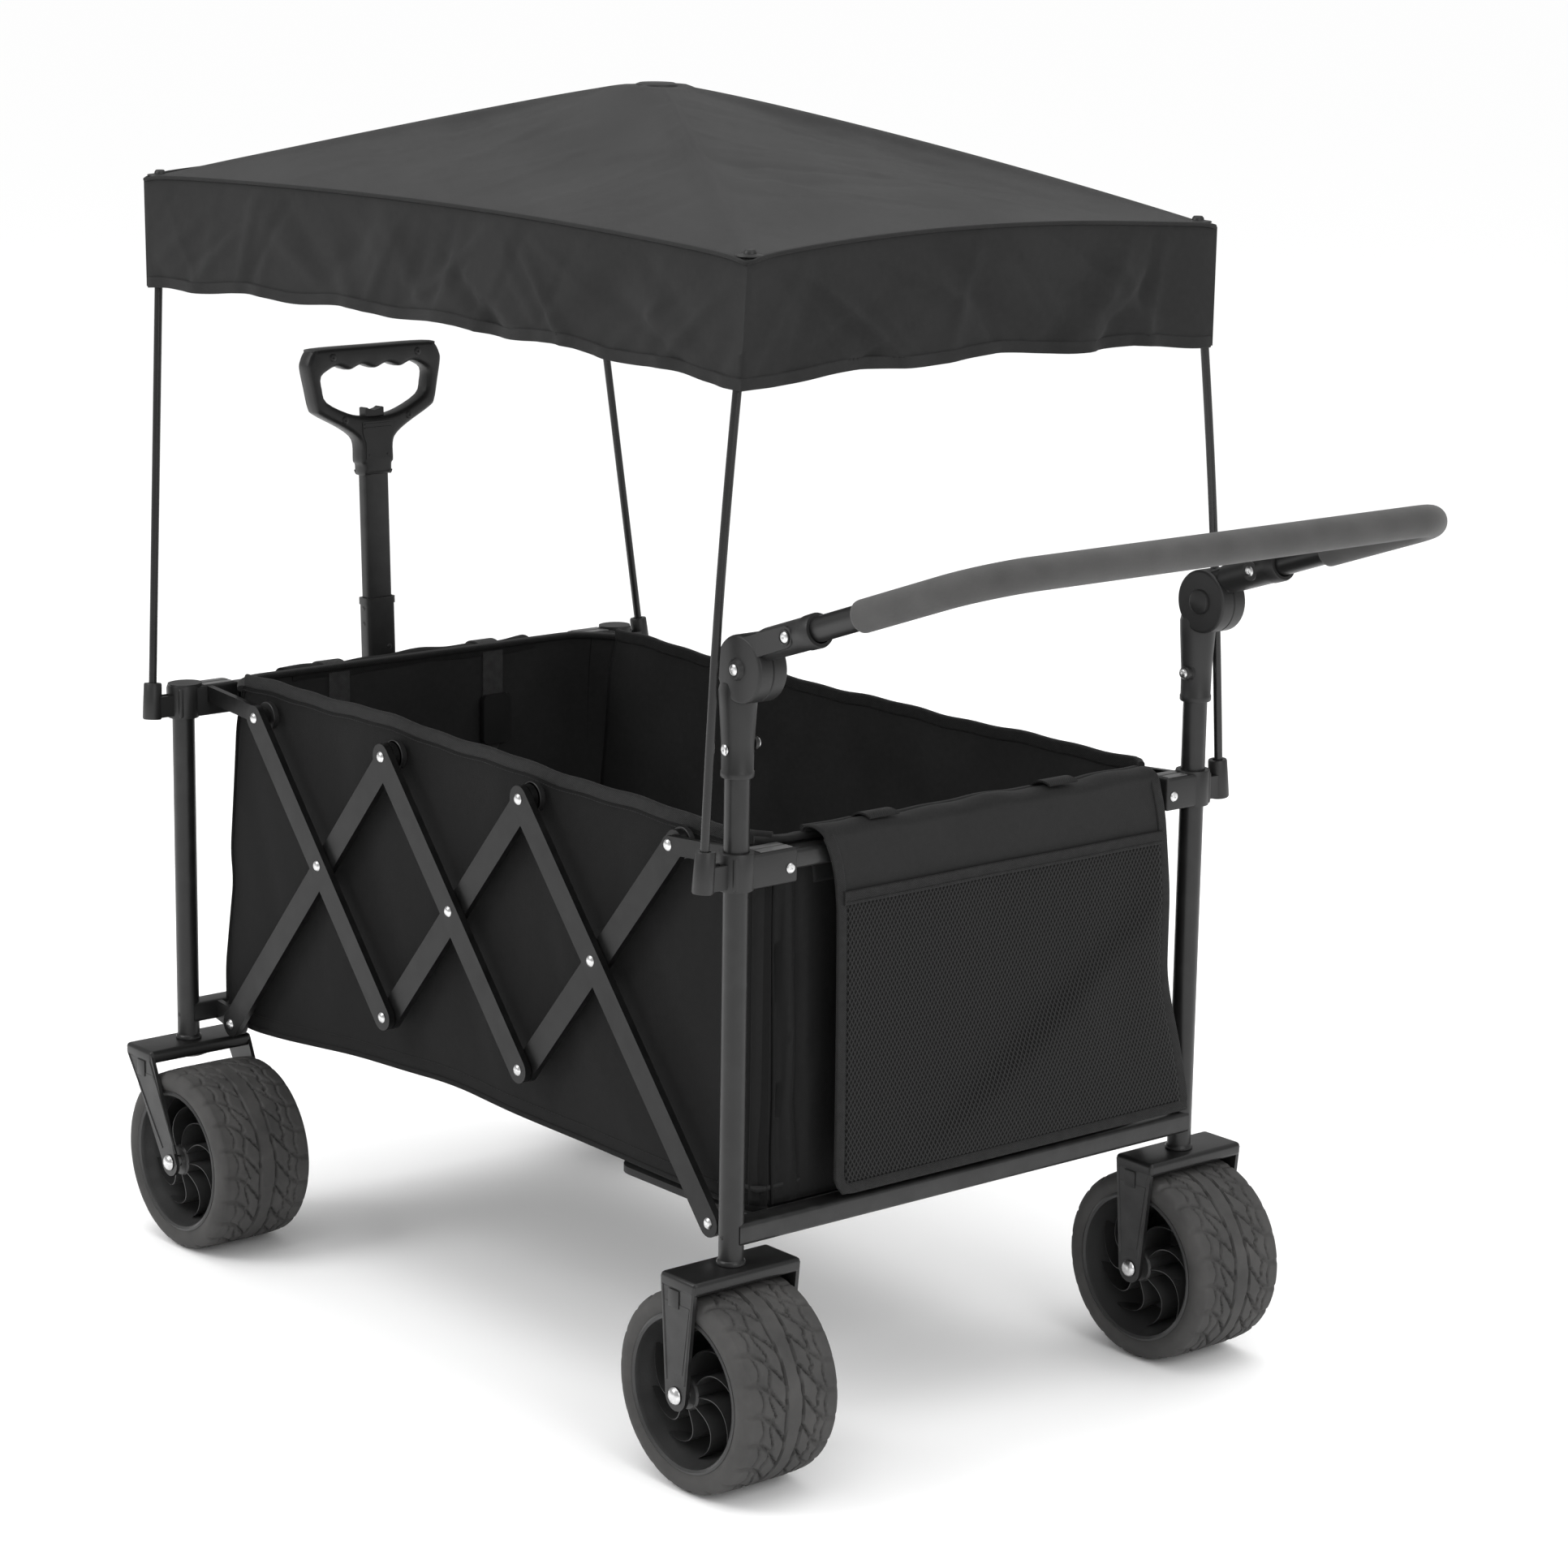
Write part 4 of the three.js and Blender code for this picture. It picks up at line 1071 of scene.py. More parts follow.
for side_name, side in SIDES:
    y = side * POST_Y
    inner, seam, outer = HOUSING_Y
    pivot = PUSH_PIVOT
    bm = bmesh.new()
    add_lathe(bm, hinge_disc(seam + 0.0002, outer), pivot + Vector((0, side * (seam + 0.0002), 0)),
              (0, side, 0), 56)
    neck = [(0.0113, 0), (0.0136, 0), (0.0143, 0.0010), (0.0143, 0.0050), (0.0137, 0.0062), (0.0140, 0.030),
            (0.0160, 0.062), (0.0165, 0.074), (0.0150, 0.081), (0.006, 0.083), (0.006, 0.066),
            (0.0113, 0.066)]
    add_lathe(bm, neck, at(POST_X, y, HINGE_NECK_Z), (0, 0, 1), 40)
    cover = [(0, 0.0030), (0.0058, 0.0030), (0.0066, 0.0036), (0.0078, 0.0034), (0.0086, 0.0020),
             (0.0100, -0.001), (0, -0.001)]
    add_lathe(bm, cover[::-1], pivot + Vector((-0.0015, side * outer, 0)), (0, side, 0), 32)
    knob = at(POST_X + 0.002, side * (POST_Y - 0.013), HINGE_KNOB_Z)
    dome = [(0, 0.006), (0.005, 0.0055), (0.0062, 0.004), (0.0062, 0), (0.008, -0.001), (0, -0.001)]
    add_lathe(bm, dome[::-1], knob, (0, -side, 0), 24)
    piece(f"push_{side_name}_fixed_hinge", bm, PLASTIC, "rear_frame", f"push_{side_name}_lower_housing")
    bm = bmesh.new()
    add_lathe(bm, hinge_disc(inner, seam), pivot + Vector((0, side * (seam - 0.0002), 0)), (0, -side, 0), 56)
    socket = [(0.0112, 0.024), (0.0128, 0.024), (0.0137, 0.030), (0.0139, ARM_SOCKET_END - 0.016),
              (0.0146, ARM_SOCKET_END - 0.013), (0.0148, ARM_SOCKET_END - 0.002), (0.0141, ARM_SOCKET_END),
              (0.0112, ARM_SOCKET_END)]
    add_lathe(bm, socket, on_arm(0, y), ARM, 40)
    shoulder = [on_arm(-0.004, side * (POST_Y - 0.009), -0.006),
                on_arm(0.018, side * (POST_Y - 0.006), -0.002),
                on_arm(0.040, y, 0)]
    add_sweep(bm, shoulder, rounded_rectangle(0.013, 0.026, 0.004), up=ARM_UP,
              taper=lambda t: 1 - 0.12 * t)
    relief = [(0.012, -0.0095), (ARM_SCREW, -0.0090)]
    turns = [math.pi * (i / 10 - 0.5) for i in range(1, 10)]
    relief += [(ARM_SCREW + 0.009 * math.cos(turn), 0.009 * math.sin(turn)) for turn in turns]
    relief += [(ARM_SCREW, 0.0090), (0.012, 0.0095)]
    add_prism(bm, relief, beside_arm, (side * (POST_Y + 0.0090), side * (POST_Y + 0.0139)), 0.0012, 3)
    pad = [(ARM_SCREW + across, lift) for across, lift in circle(0.0085, 28)]
    add_prism(bm, pad, beside_arm, (side * (POST_Y - 0.0136), side * (POST_Y - 0.0100)), 0.0010, 3)
    add_lathe(bm, [(0.0052, 0), (0.0066, 0), (0.0066, 0.0009), (0.0058, 0.0013), (0.0052, 0.0009)],
              on_arm(ARM_SCREW, side * (POST_Y + 0.0138)), (0, side, 0), 28)
    piece(f"push_{side_name}_swing_hinge", bm, PLASTIC, "push_handle", f"push_{side_name}_upper_housing")
    bm = bmesh.new()
    face = pivot + Vector((0, side * inner, 0))
    cap = [(0, 0.0040), (0.0092, 0.0038), (0.0108, 0.0030), (0.0113, 0.0016), (0.0113, -0.006), (0, -0.006)]
    add_lathe(bm, cap[::-1], face, (0, -side, 0), 32)
    piece(f"push_{side_name}_release", bm, PLASTIC, f"push_{side_name}_button", f"push_{side_name}_button")
    through_bolt = [(on_arm(ARM_SCREW, side * POST_Y + face * 0.0137), (0, face, 0)) for face in (-1, 1)]
    screws(f"push_{side_name}_arm_screws", "push_handle", through_bolt, PUSH_SCREW_R)
    low_screw = at(POST_X, side * (POST_Y + 0.0136), 0.6465)
    hinge_bolt = pivot + Vector((-0.0015, side * (outer + 0.0031), 0))
    knob_screw = at(POST_X + 0.002, side * (POST_Y - 0.0188), HINGE_KNOB_Z)
    screws(f"push_{side_name}_post_screws", "rear_frame",
           [(low_screw, (-0.1, side, 0)), (hinge_bolt, (0, side, 0)), (knob_screw, (0, -side, 0))],
           PUSH_SCREW_R)


# ---- pull handle ----

PULL_AHEAD = Vector((PULL_AXIS.z, 0, -PULL_AXIS.x))
GRIP_HALF_X = 0.0105
OUTER_TUBE_Z = (0.199, 0.606)
TUBE_COLLAR_Z = (0.603, 0.610)
INNER_TUBE_Z = (0.345, 0.778)


def pull_point(y, z, x=0.0):
    """Point of the leaning handle, with its height taken as if it stood upright."""
    return PULL_PIVOT + PULL_AXIS * (z - PULL_PIVOT.z) + PULL_AHEAD * x + Vector((0, y, 0))


def add_tube(bm, depth, width, radius, z0, z1, wall=None):
    """Rounded rectangular tube along the handle, hollow when a wall is given."""
    outer = rounded_rectangle(depth, width, radius)
    loops = [(outer, z0), (outer, z1)]
    if wall:
        inner = rounded_rectangle(depth - 2 * wall, width - 2 * wall, max(0.0008, radius - wall))
        loops += [(inner, z1), (inner, z0)]
    rings = [[bm.verts.new(pull_point(y, z, x)) for x, y in loop] for loop, z in loops]
    join_rings(bm, rings, closed=bool(wall))
    if not wall:
        cap_ends(bm, rings)


def plug(bm, place, axis, radius=0.0026):
    """Black plug or spring button standing just proud of a tube."""
    profile = [(0, 0.0007), (radius * 0.7, 0.0006), (radius, 0), (radius, -0.001), (0, -0.001)]
    add_lathe(bm, profile, place, axis, 20)


bm = bmesh.new()
add_tube(bm, 0.017, 0.035, 0.0045, *OUTER_TUBE_Z, 0.0014)
add_tube(bm, 0.0186, 0.037, 0.0052, *TUBE_COLLAR_Z, 0.0022)
piece("pull_lower_tube", bm, STEEL, "pull_outer", "pull_outer_tube")
bm = bmesh.new()
add_tube(bm, 0.013, 0.0306, 0.0034, *INNER_TUBE_Z)
piece("pull_upper_tube", bm, STEEL, "pull_inner", "pull_inner_tube")
bm = bmesh.new()
for z in (0.583, 0.599):
    plug(bm, pull_point(-0.0175, z, 0.001), (0, -1, 0))
plug(bm, pull_point(0.008, 0.558, 0.0085), PULL_AHEAD, 0.003)
piece("pull_tube_plugs", bm, PLASTIC, "pull_outer")
bolts = [(PULL_PIVOT + Vector((0, side * 0.0233, 0)), (0, side, 0)) for side in (-1, 1)]
screws("pull_pivot_bolt", "front_frame", bolts, 0.006, 0.003)


def smooth_closed(points, steps=6):
    """Catmull-Rom through a closed ring of points."""
    result = []
    count = len(points)
    for i in range(count):
        p0, p1, p2, p3 = (Vector(points[(i + k - 1) % count]) for k in range(4))
        for s in range(steps):
            t = s / steps
            result.append(0.5 * (2 * p1 + (p2 - p0) * t + (2 * p0 - 5 * p1 + 4 * p2 - p3) * t * t
                                 + (3 * p1 - p0 - 3 * p2 + p3) * t ** 3))
    return result


def grip_outline():
    """Neck with its step, sloping shoulders and the rounded top corners of the D grip."""
    neck = [(0.012, 0.737), (0.0172, 0.7374), (0.0180, 0.7475), (0.0203, 0.7515), (0.0205, 0.768)]
    shoulder = [(0.0250, 0.777), (0.0395, 0.787), (0.0670, 0.8015), (0.0735, 0.809)]
    top_corner = [(0.0780, 0.829), (0.0820, 0.849), (0.0810, 0.857), (0.0760, 0.866), (0.0680, 0.8698)]
    half = neck + shoulder + top_corner
    return half + [(0, 0.8702)] + [(-y, z) for y, z in half[::-1]]


def grip_hole():
    """Finger opening with four scallops above."""
    pitch, depth, middle = 0.0308, 0.0022, 0.848
    half = [(0.012, 0.7975), (0.034, 0.8025), (0.059, 0.815), (0.0640, 0.828), (0.0647, 0.841)]
    half += [(i * pitch / 8, middle - depth * math.cos(TAU * i / 8)) for i in range(14, 0, -1)]
    return half + [(0, middle - depth)] + [(-y, z) for y, z in half[::-1]]


def rounded_wall(bm, ring, sign, edge, half):
    """Side wall along a ring, rolled over both faces; returns its two rims."""
    count = len(ring)
    area = sum(here.x * ahead.y - ahead.x * here.y for here, ahead in zip(ring, ring[1:] + ring[:1]))
    turn = math.copysign(1, area) * sign
    rows = []
    for i in range(9):
        angle = -math.pi / 2 + math.pi * i / 8
        depth = math.sin(angle) * edge + (math.copysign(half - edge, math.sin(angle)) if i != 4 else 0)
        row = []
        for k, point in enumerate(ring):
            ahead = ring[(k + 1) % count] - ring[k - 1]
            normal = Vector((ahead.y, -ahead.x)).normalized()
            inset = point - normal * turn * edge * (1 - math.cos(angle))
            row.append(bm.verts.new(pull_point(inset.x, inset.y, depth)))
        rows.append(row)
    join_rings(bm, rows)
    return rows[0], rows[-1]


def grip_shape():
    """D grip with a rounded section, and a raised plate with two lines and two dots on its neck."""
    bm = bmesh.new()
    outer = rounded_wall(bm, smooth_closed(grip_outline(), 4), 1, 0.0050, GRIP_HALF_X)
    hole = rounded_wall(bm, smooth_closed(grip_hole(), 3), -1, 0.0056, GRIP_HALF_X)
    for rims in zip(outer, hole):
        edges = []
        for ring in rims:
            edges += [bm.edges.get((ring[i - 1], ring[i])) for i in (*range(1, len(ring)), 0)]
        bmesh.ops.triangle_fill(bm, use_beauty=True, edges=edges)
    for face in (-1, 1):
        plate = [(0.0150, 0.754), (0.0150, 0.770), (0.0185, 0.780), (0.0185, 0.792)]
        plate += [(-y, z) for y, z in plate[::-1]]
        add_prism(bm, plate, pull_point, (face * (GRIP_HALF_X - 0.0005), face * (GRIP_HALF_X + 0.0007)),
                  0.0004)
        for z in (0.7855, 0.7895):
            line = [(-0.0165, z - 0.0006), (0.0165, z - 0.0006), (0.0165, z + 0.0006), (-0.0165, z + 0.0006)]
            add_prism(bm, line, pull_point, (face * GRIP_HALF_X, face * (GRIP_HALF_X + 0.0014)), 0.0003)
        for y in (-0.011, 0.011):
            plug(bm, pull_point(y, 0.7575, face * (GRIP_HALF_X + 0.0006)), PULL_AHEAD * face, 0.0014)
    return bm


piece("grip_moulding", grip_shape(), PLASTIC, "pull_inner", "pull_grip", 40)
bm = bmesh.new()
for y, z in ((-0.052, 0.860), (0.052, 0.860), (-0.0393, 0.7956), (0.0393, 0.7956)):
    add_screw(bm, pull_point(y, z, GRIP_HALF_X - 0.0002), PULL_AHEAD, 0.0042, 0.0010)
piece("grip_screws", bm, PLASTIC, "pull_inner")
button = [(0.0112, 0.792), (0.0112, 0.8052), (0.0092, 0.8060), (0.0060, 0.8042), (0.0, 0.8028)]
button += [(-y, z) for y, z in button[-2::-1]]
bm = bmesh.new()
add_prism(bm, button, pull_point, (-0.0056, 0.0056), 0.0009, 2)
piece("grip_release", bm, PLASTIC, "pull_button", "pull_button")


# ---- basket ----

NEAR_HEM = ((-0.418, 0.215), (-0.390, 0.2105), (-0.322, 0.2145), (-0.192, 0.2285), (-0.083, 0.2345),
            (-0.031, 0.2385), (0.065, 0.234), (0.170, 0.233), (0.282, 0.231), (0.400, 0.229))
NEAR_RIM = ((-0.416, 0.5695), (-0.157, 0.5715), (0.064, 0.5655), (0.332, 0.5605), (0.416, 0.5615))
FAR_RIM = ((-0.416, 0.5645), (-0.250, 0.5605), (0.0, 0.5588), (0.250, 0.5615), (0.416, 0.5655))
FRONT_EDGE = ((0.210, -0.4165), (0.269, -0.4165), (0.359, -0.401), (0.391, -0.405), (0.521, -0.391),
              (0.572, -0.374))


def rim_height(x, side):
    """Side rims, sagging between the corners and rippling a little."""
    ripple = 0.0010 * math.sin(x * 31) + 0.0006 * math.sin(x * 83)
    return through(NEAR_RIM if side < 0 else FAR_RIM, x, 0.05) + ripple


def hem_height(x):
    """The side's hem hangs lower at the front corner and lifts in the middle."""
    return through(NEAR_HEM, x, 0.03)


side_wrinkles = {
    side: wrinkle_field(11 + side, 22, (-0.42, 0.42), (0.22, 0.57), (78, 96, 60, 118), 0.024, 0.0030)
    for _, side in SIDES
}


def side_wall_point(side):
    height = side_wrinkles[side]

    def point(u, v):
        x = -WALL_END + 2 * WALL_END * u
        z = hem_height(x) + (rim_height(x, side) - hem_height(x)) * v
        x += (through(FRONT_EDGE, z, 0.01) + WALL_END) * (1 - u) ** 3
        billow = 0.0035 * math.sin(math.pi * v) * math.sin(math.pi * u) ** 0.7
        dent = height(x, z) * math.sin(math.pi * v) ** 0.5
        corner = 0.012 * max(0.0, 1 - (1 - u) / 0.03) ** 2
        inward = 0.004 + max(0, -dent + 0.0012) - min(0.0025, billow) + corner
        return at(x, side * (WALL_Y - inward), z)

    return point


def sewn(name, bm, material, body, angle, folds=None, slot=None):
    """Piece of the sewn trim, with UVs in metres taken from the place itself."""
    obj = piece(name, bm, material, body, angle=angle, slot=slot)
    layer = obj.data.uv_layers.new(name="UVMap")
    for loop in obj.data.loops:
        co = obj.data.vertices[loop.vertex_index].co
        layer.data[loop.index].uv = (co.x + co.y, co.z)
    if folds:
        folds(obj)


def strip(name, path, width, thick, body, material=BINDING, up=(0, 0, 1), folds=None, closed=False):
    """Narrow sewn strip of rounded section along a path."""
    bm = bmesh.new()
    add_sweep(bm, path, rounded_rectangle(width, thick, min(width, thick) * 0.45), up=up, closed=closed)
    sewn(name, bm, material, body, 60, folds)


def stitch_line(name, place, count, body, folds=None, slot=None, length=0.0032, radius=0.00045):
    """Row of thread stitches along place(t)."""
    bm = bmesh.new()
    for i in range(count):
        middle = place((i + 0.5) / count)
        ahead = (place((i + 0.6) / count) - middle).normalized() * length / 2
        add_sweep(bm, [middle - ahead, middle, middle + ahead], circle(radius, 5),
                  taper=lambda t: 0.6 + 0.4 * math.sin(math.pi * t))
    sewn(name, bm, BINDING, body, 80, folds, slot)


for side_name, side in SIDES:
    wall_point = side_wall_point(side)
    cloth(f"{side_name}_side_panel", (140, 60), wall_point, WALL_SKIN, BASKET, "front_frame",
          "basket_body" if side < 0 else None, flip=side > 0, lining=LINING_PAINTED_LIGHT, folds=folds_with_frame)
    rim = [wall_point(i / 80, 0.992) for i in range(81)]
    strip(f"{side_name}_rim_binding", rim, 0.0058, 0.0125, "front_frame", folds=folds_with_frame)
    seam = [wall_point(i / 60, 0.004) for i in range(61)]
    strip(f"{side_name}_hem_fold", seam, 0.0036, 0.0060, "front_frame", BASKET, folds=folds_with_frame)
    off = Vector((0, side * 0.0009, 0))
    stitch_line(f"{side_name}_hem_stitching", lambda t: wall_point(t, 0.045) + off, 190, "front_frame",
                folds=folds_with_frame)
    stitch_line(f"{side_name}_rim_stitching", lambda t: wall_point(t, 0.966) + off * 3.6, 210, "front_frame",
                folds=folds_with_frame)


FLOOR_Z = 0.2495


def floor_point(u, v):
    x = -WALL_END + 2 * WALL_END * u
    y = (WALL_Y - 0.006) * (2 * v - 1)
    quilt = 0.0015 * math.cos(TAU * u * 4) * math.cos(math.pi * (v - 0.5))
    return at(x, y, FLOOR_Z + quilt)


cloth("basket_floor", (60, 30), floor_point, FLOOR_SKIN, LINING_PAINTED_LIGHT, "front_frame",
      folds=folds_with_frame)


BOARD_Z = 0.2412
REAR_BOARD_Z = 0.2135
BOARD_LEAVES = 4


def base_board():
    """Stiff boards under the floor in four leaves, the rear one sagging a little at its rounded corner."""
    bm = bmesh.new()
    reach = WALL_END - 0.006
    for i in range(BOARD_LEAVES):
        x0 = -reach + 2 * reach * i / BOARD_LEAVES + 0.002
        x1 = -reach + 2 * reach * (i + 1) / BOARD_LEAVES - 0.002
        last = i == BOARD_LEAVES - 1
        plan = rounded_rectangle(x1 - x0, 2 * (WALL_Y - 0.012), 0.022, 6)
        middle = (x0 + x1) / 2
        drop = REAR_BOARD_Z if last else BOARD_Z

        def place(x, y, z, middle=middle, drop=drop, last=last):
            lean = 0.008 * max(0.0, 0.25 - (x + middle) / reach * 0.25) if last else 0
            return at(middle + x, y, drop + z + lean)

        add_prism(bm, plan, place, (0.0, 0.0065 if last else 0.0055), 0.002, 2)
    sewn("base_boards", bm, BOARD, "front_frame", 40, folds_with_frame)


base_board()


CREASES = ((0.0085, 0.2075), (-0.0040, 0.197), (0.0070, 0.187))


WALL_FOOT_Z = 0.2345


def end_wall_point(end, half_y):
    height = wrinkle_field(31 + end, 16, (-half_y, half_y), (0.23, 0.57), (84, 96, 70), 0.014, 0.0036)
    corner = 0.046 if end < 0 else 0.030

    def point(u, v):
        y = (2 * u - 1) * half_y
        z = WALL_FOOT_Z + (BASKET_TOP - 0.010 - WALL_FOOT_Z) * v
        edge = max(0.0, abs(y) - (half_y - corner)) / corner
        inset = -through(FRONT_EDGE, z, 0.01) if end < 0 else WALL_END - 0.010
        x = WALL_END + 0.0015 - (WALL_END + 0.0015 - inset) * edge ** 2
        dent = max(0, height(y, z)) * math.sin(math.pi * v) ** 0.6
        out = abs(y) - 0.03 * (z - 0.4)
        fold = sum(deep * math.exp(-(((out - line) / 0.005) ** 2)) for deep, line in CREASES)
        fold *= math.sin(math.pi * v) ** 0.5
        return at(end * (x - dent - (fold if end > 0 else 0)), y, z)

    return point


for end_name, end in ENDS:
    wall_point = end_wall_point(end, WALL_Y - (0.002 if end < 0 else 0.005))
    cloth(f"{end_name}_wall_panel", (110, 60), wall_point, WALL_SKIN, BASKET if end < 0 else REAR_CLOTH_LIT,
          f"{end_name}_frame", f"{end_name}_panel", flip=end < 0, lining=LINING_PAINTED_LIGHT)
    strip(f"{end_name}_wall_rim", [wall_point(i / 60, 0.994) for i in range(61)], 0.0058, 0.0115,
          f"{end_name}_frame",
          up=(1, 0, 0))
    for side_name, side in SIDES:
        u = 0.5 + side * 0.463
        seam = [wall_point(u, i / 40) + Vector((end * 0.0012, 0, 0)) for i in range(41)]
        strip(f"{end_name}_{side_name}_corner_seam", seam, 0.0026, 0.0036, f"{end_name}_frame", BASKET,
              up=(1, 0, 0))


def rim_ripple(y):
    return 0.0024 * math.sin(y * 37 + 1.0) + 0.0016 * math.sin(y * 91)


def over_rail(end, left, right, top, drop, seed):
    """Cloth up inside the rail, over it and down outside, between two edges that are functions of z."""
    inside, outside = POST_X - 0.0125, POST_X + 0.0165
    radius = (outside - inside) / 2
    middle = (outside + inside) / 2
    height = wrinkle_field(seed, 12, (-0.2, 0.2), (drop, top), (35, 90, 150), 0.045, 0.0022)
    inner_drop = 0.045
    arc = math.pi * radius
    outer_drop = top - radius * 0.5 - drop
    total = inner_drop + arc + outer_drop

    def point(u, v):
        s = v * total
        if s < inner_drop:
            x, z = inside, top - radius * 0.5 - (inner_drop - s)
        elif s < inner_drop + arc:
            turn = math.pi - (s - inner_drop) / radius
            x, z = middle + radius * math.cos(turn), top - radius * 0.5 + radius * 0.5 * math.sin(turn)
        else:
            t = (s - inner_drop - arc) / outer_drop
            z = top - radius * 0.5 - t * outer_drop
            x = outside + 0.0012 * math.sin(math.pi * t)
            x += min(0.0, height((u - 0.5) * 0.4, z)) * math.sin(math.pi * min(1, t * 1.2)) ** 0.5
        y = left(z) + (right(z) - left(z)) * u
        ripple = rim_ripple(y) * max(0, 1 - abs(s - inner_drop - arc / 2) / 0.05)
        return at(end * x, y, min(z + ripple * 0.6, BASKET_TOP + 0.002))

    return point, (inner_drop + arc) / total


FLAP_BOTTOM = 0.2395
FLAP_CORNER = 0.022
FLAP_LEFT = ((0.240, -0.170), (0.266, -0.169), (0.497, -0.1715), (0.530, -0.175), (0.552, -0.182),
             (0.565, -0.190))
FLAP_RIGHT = ((0.240, 0.2615), (0.260, 0.2585), (0.302, 0.247), (0.347, 0.233), (0.376, 0.2265),
              (0.452, 0.226), (0.529, 0.217), (0.560, 0.207))


def flap_left(z):
    """Left edge of the flap, rounded off at the bottom."""
    below = min(FLAP_CORNER, max(0.0, FLAP_BOTTOM + FLAP_CORNER - z))
    return through(FLAP_LEFT, z, 0.01) + FLAP_CORNER - math.sqrt(FLAP_CORNER ** 2 - below ** 2)


def flap_right(z):
    return through(FLAP_RIGHT, z, 0.012)


flap_point, flap_turn = over_rail(1, flap_left, flap_right, BASKET_TOP - 0.003, FLAP_BOTTOM, 5)
cloth("rear_flap", (90, 130), flap_point, FLAP_SKIN, FLAP, "rear_frame")
front_point, front_turn = over_rail(-1, lambda z: -0.15, lambda z: 0.15, 0.5590, 0.505, 9)
cloth("front_turnover", (80, 40), front_point, FLAP_SKIN, BASKET, "front_frame", flip=True)
ridge = [flap_point(i / 60, flap_turn * 0.52) + Vector((0, 0, 0.0024)) for i in range(61)]
strip("rear_rim_binding", ridge, 0.0062, 0.0075, "rear_frame", up=(1, 0, 0))
ridge = [front_point(i / 60, front_turn * 0.52) + Vector((0, 0, -0.0005)) for i in range(61)]
strip("front_rim_binding", ridge, 0.0085, 0.0055, "front_frame", up=(1, 0, 0))


def flap_offset(u, v, lift):
    """A point standing off the flap's outer face."""
    du = flap_point(min(1, u + 0.004), v) - flap_point(max(0, u - 0.004), v)
    dv = flap_point(u, min(1, v + 0.004)) - flap_point(u, max(0, v - 0.004))
    normal = du.cross(dv).normalized()
    if normal.x < 0 and v > flap_turn:
        normal.negate()
    return flap_point(u, v) + normal * lift


def flap_v(z):
    """Where the flap's outside face is at height z."""
    top = flap_point(0.5, flap_turn + 0.02).z
    return flap_turn + 0.02 + (top - z) / (top - FLAP_BOTTOM) * (0.98 - flap_turn)


EDGE_U = 0.012
down = [(EDGE_U, flap_turn * 0.98 + (0.985 - flap_turn * 0.98) * i / 60) for i in range(61)]
across = [(EDGE_U + (1 - 2 * EDGE_U) * i / 50, 0.986) for i in range(1, 50)]
ring = down + across + [(1 - u, v) for u, v in down[::-1]]
strip("flap_binding", [flap_offset(u, v, 0.0007) for u, v in ring], 0.0105, 0.0030, "rear_frame",
      up=(1, 0, 0))
POCKET_V = flap_v(0.5065)


def net_point(u, v):
    uu = 0.024 + (1 - 0.048) * u
    vv = POCKET_V + (0.975 - POCKET_V) * v
    belly = 0.0022 * math.sin(math.pi * u) ** 0.5 * math.sin(math.pi * v) ** 0.5
    diagonal = (u - 0.17 - 1.05 * (1 - v)) / 0.030
    taut = max(0, math.sin(math.pi * v) * math.sin(math.pi * u)) ** 0.6
    crease = (0.0090 / (1 + math.exp(-diagonal)) - 0.0030) * taut
    return flap_offset(uu, vv, 0.0019 + belly + crease)


cloth("pocket_mesh", (110, 80), net_point, NET_SKIN, NET, "rear_frame")
pocket_edge = [flap_offset(0.016 + 0.968 * i / 50, POCKET_V, 0.0028) for i in range(51)]
strip("pocket_binding", pocket_edge, 0.0120, 0.0030, "rear_frame", up=(1, 0, 0))
stitch_line("pocket_stitching", lambda t: flap_offset(0.02 + 0.96 * t, POCKET_V + 0.008, 0.0046), 130,
            "rear_frame")
stitch_line("flap_stitching", lambda t: flap_offset(0.03 + 0.94 * t, 0.974, 0.0028), 130, "rear_frame")


def wide_strap(name, body, path, y0, y1, material, thick=0.0018):
    """Flat webbing of the given width across Y along a path in X and Z."""
    bm = bmesh.new()
    rows = []
    for index, point in enumerate(path):
        before, after = path[max(0, index - 1)], path[min(len(path) - 1, index + 1)]
        ahead = (after - before).normalized()
        normal = Vector((ahead.z, 0, -ahead.x)) * thick / 2
        high, low = point + normal, point - normal
        corners = ((high, y0), (high, y1), (low, y1), (low, y0))
        rows.append([bm.verts.new(Vector((p.x, y, p.z))) for p, y in corners])
    join_rings(bm, rows)
    cap_ends(bm, rows)
    sewn(name, bm, material, body, 50)


def over_rim_path(end, top, inner_drop, outer_drop):
    """Middle line of a strap up inside a rail, over it and down outside."""
    inside, outside = POST_X - 0.0145, POST_X + 0.0185
    radius = (outside - inside) / 2
    middle = (inside + outside) / 2
    path = [at(end * inside, 0, top - inner_drop * (1 - i / 6)) for i in range(6)]
    path += [at(end * (middle + radius * math.cos(math.pi - math.pi * i / 14)), 0,
                top + 0.010 * math.sin(math.pi * i / 14)) for i in range(15)]
    path += [at(end * outside, 0, top - outer_drop * (i + 1) / 4) for i in range(4)]
    return path


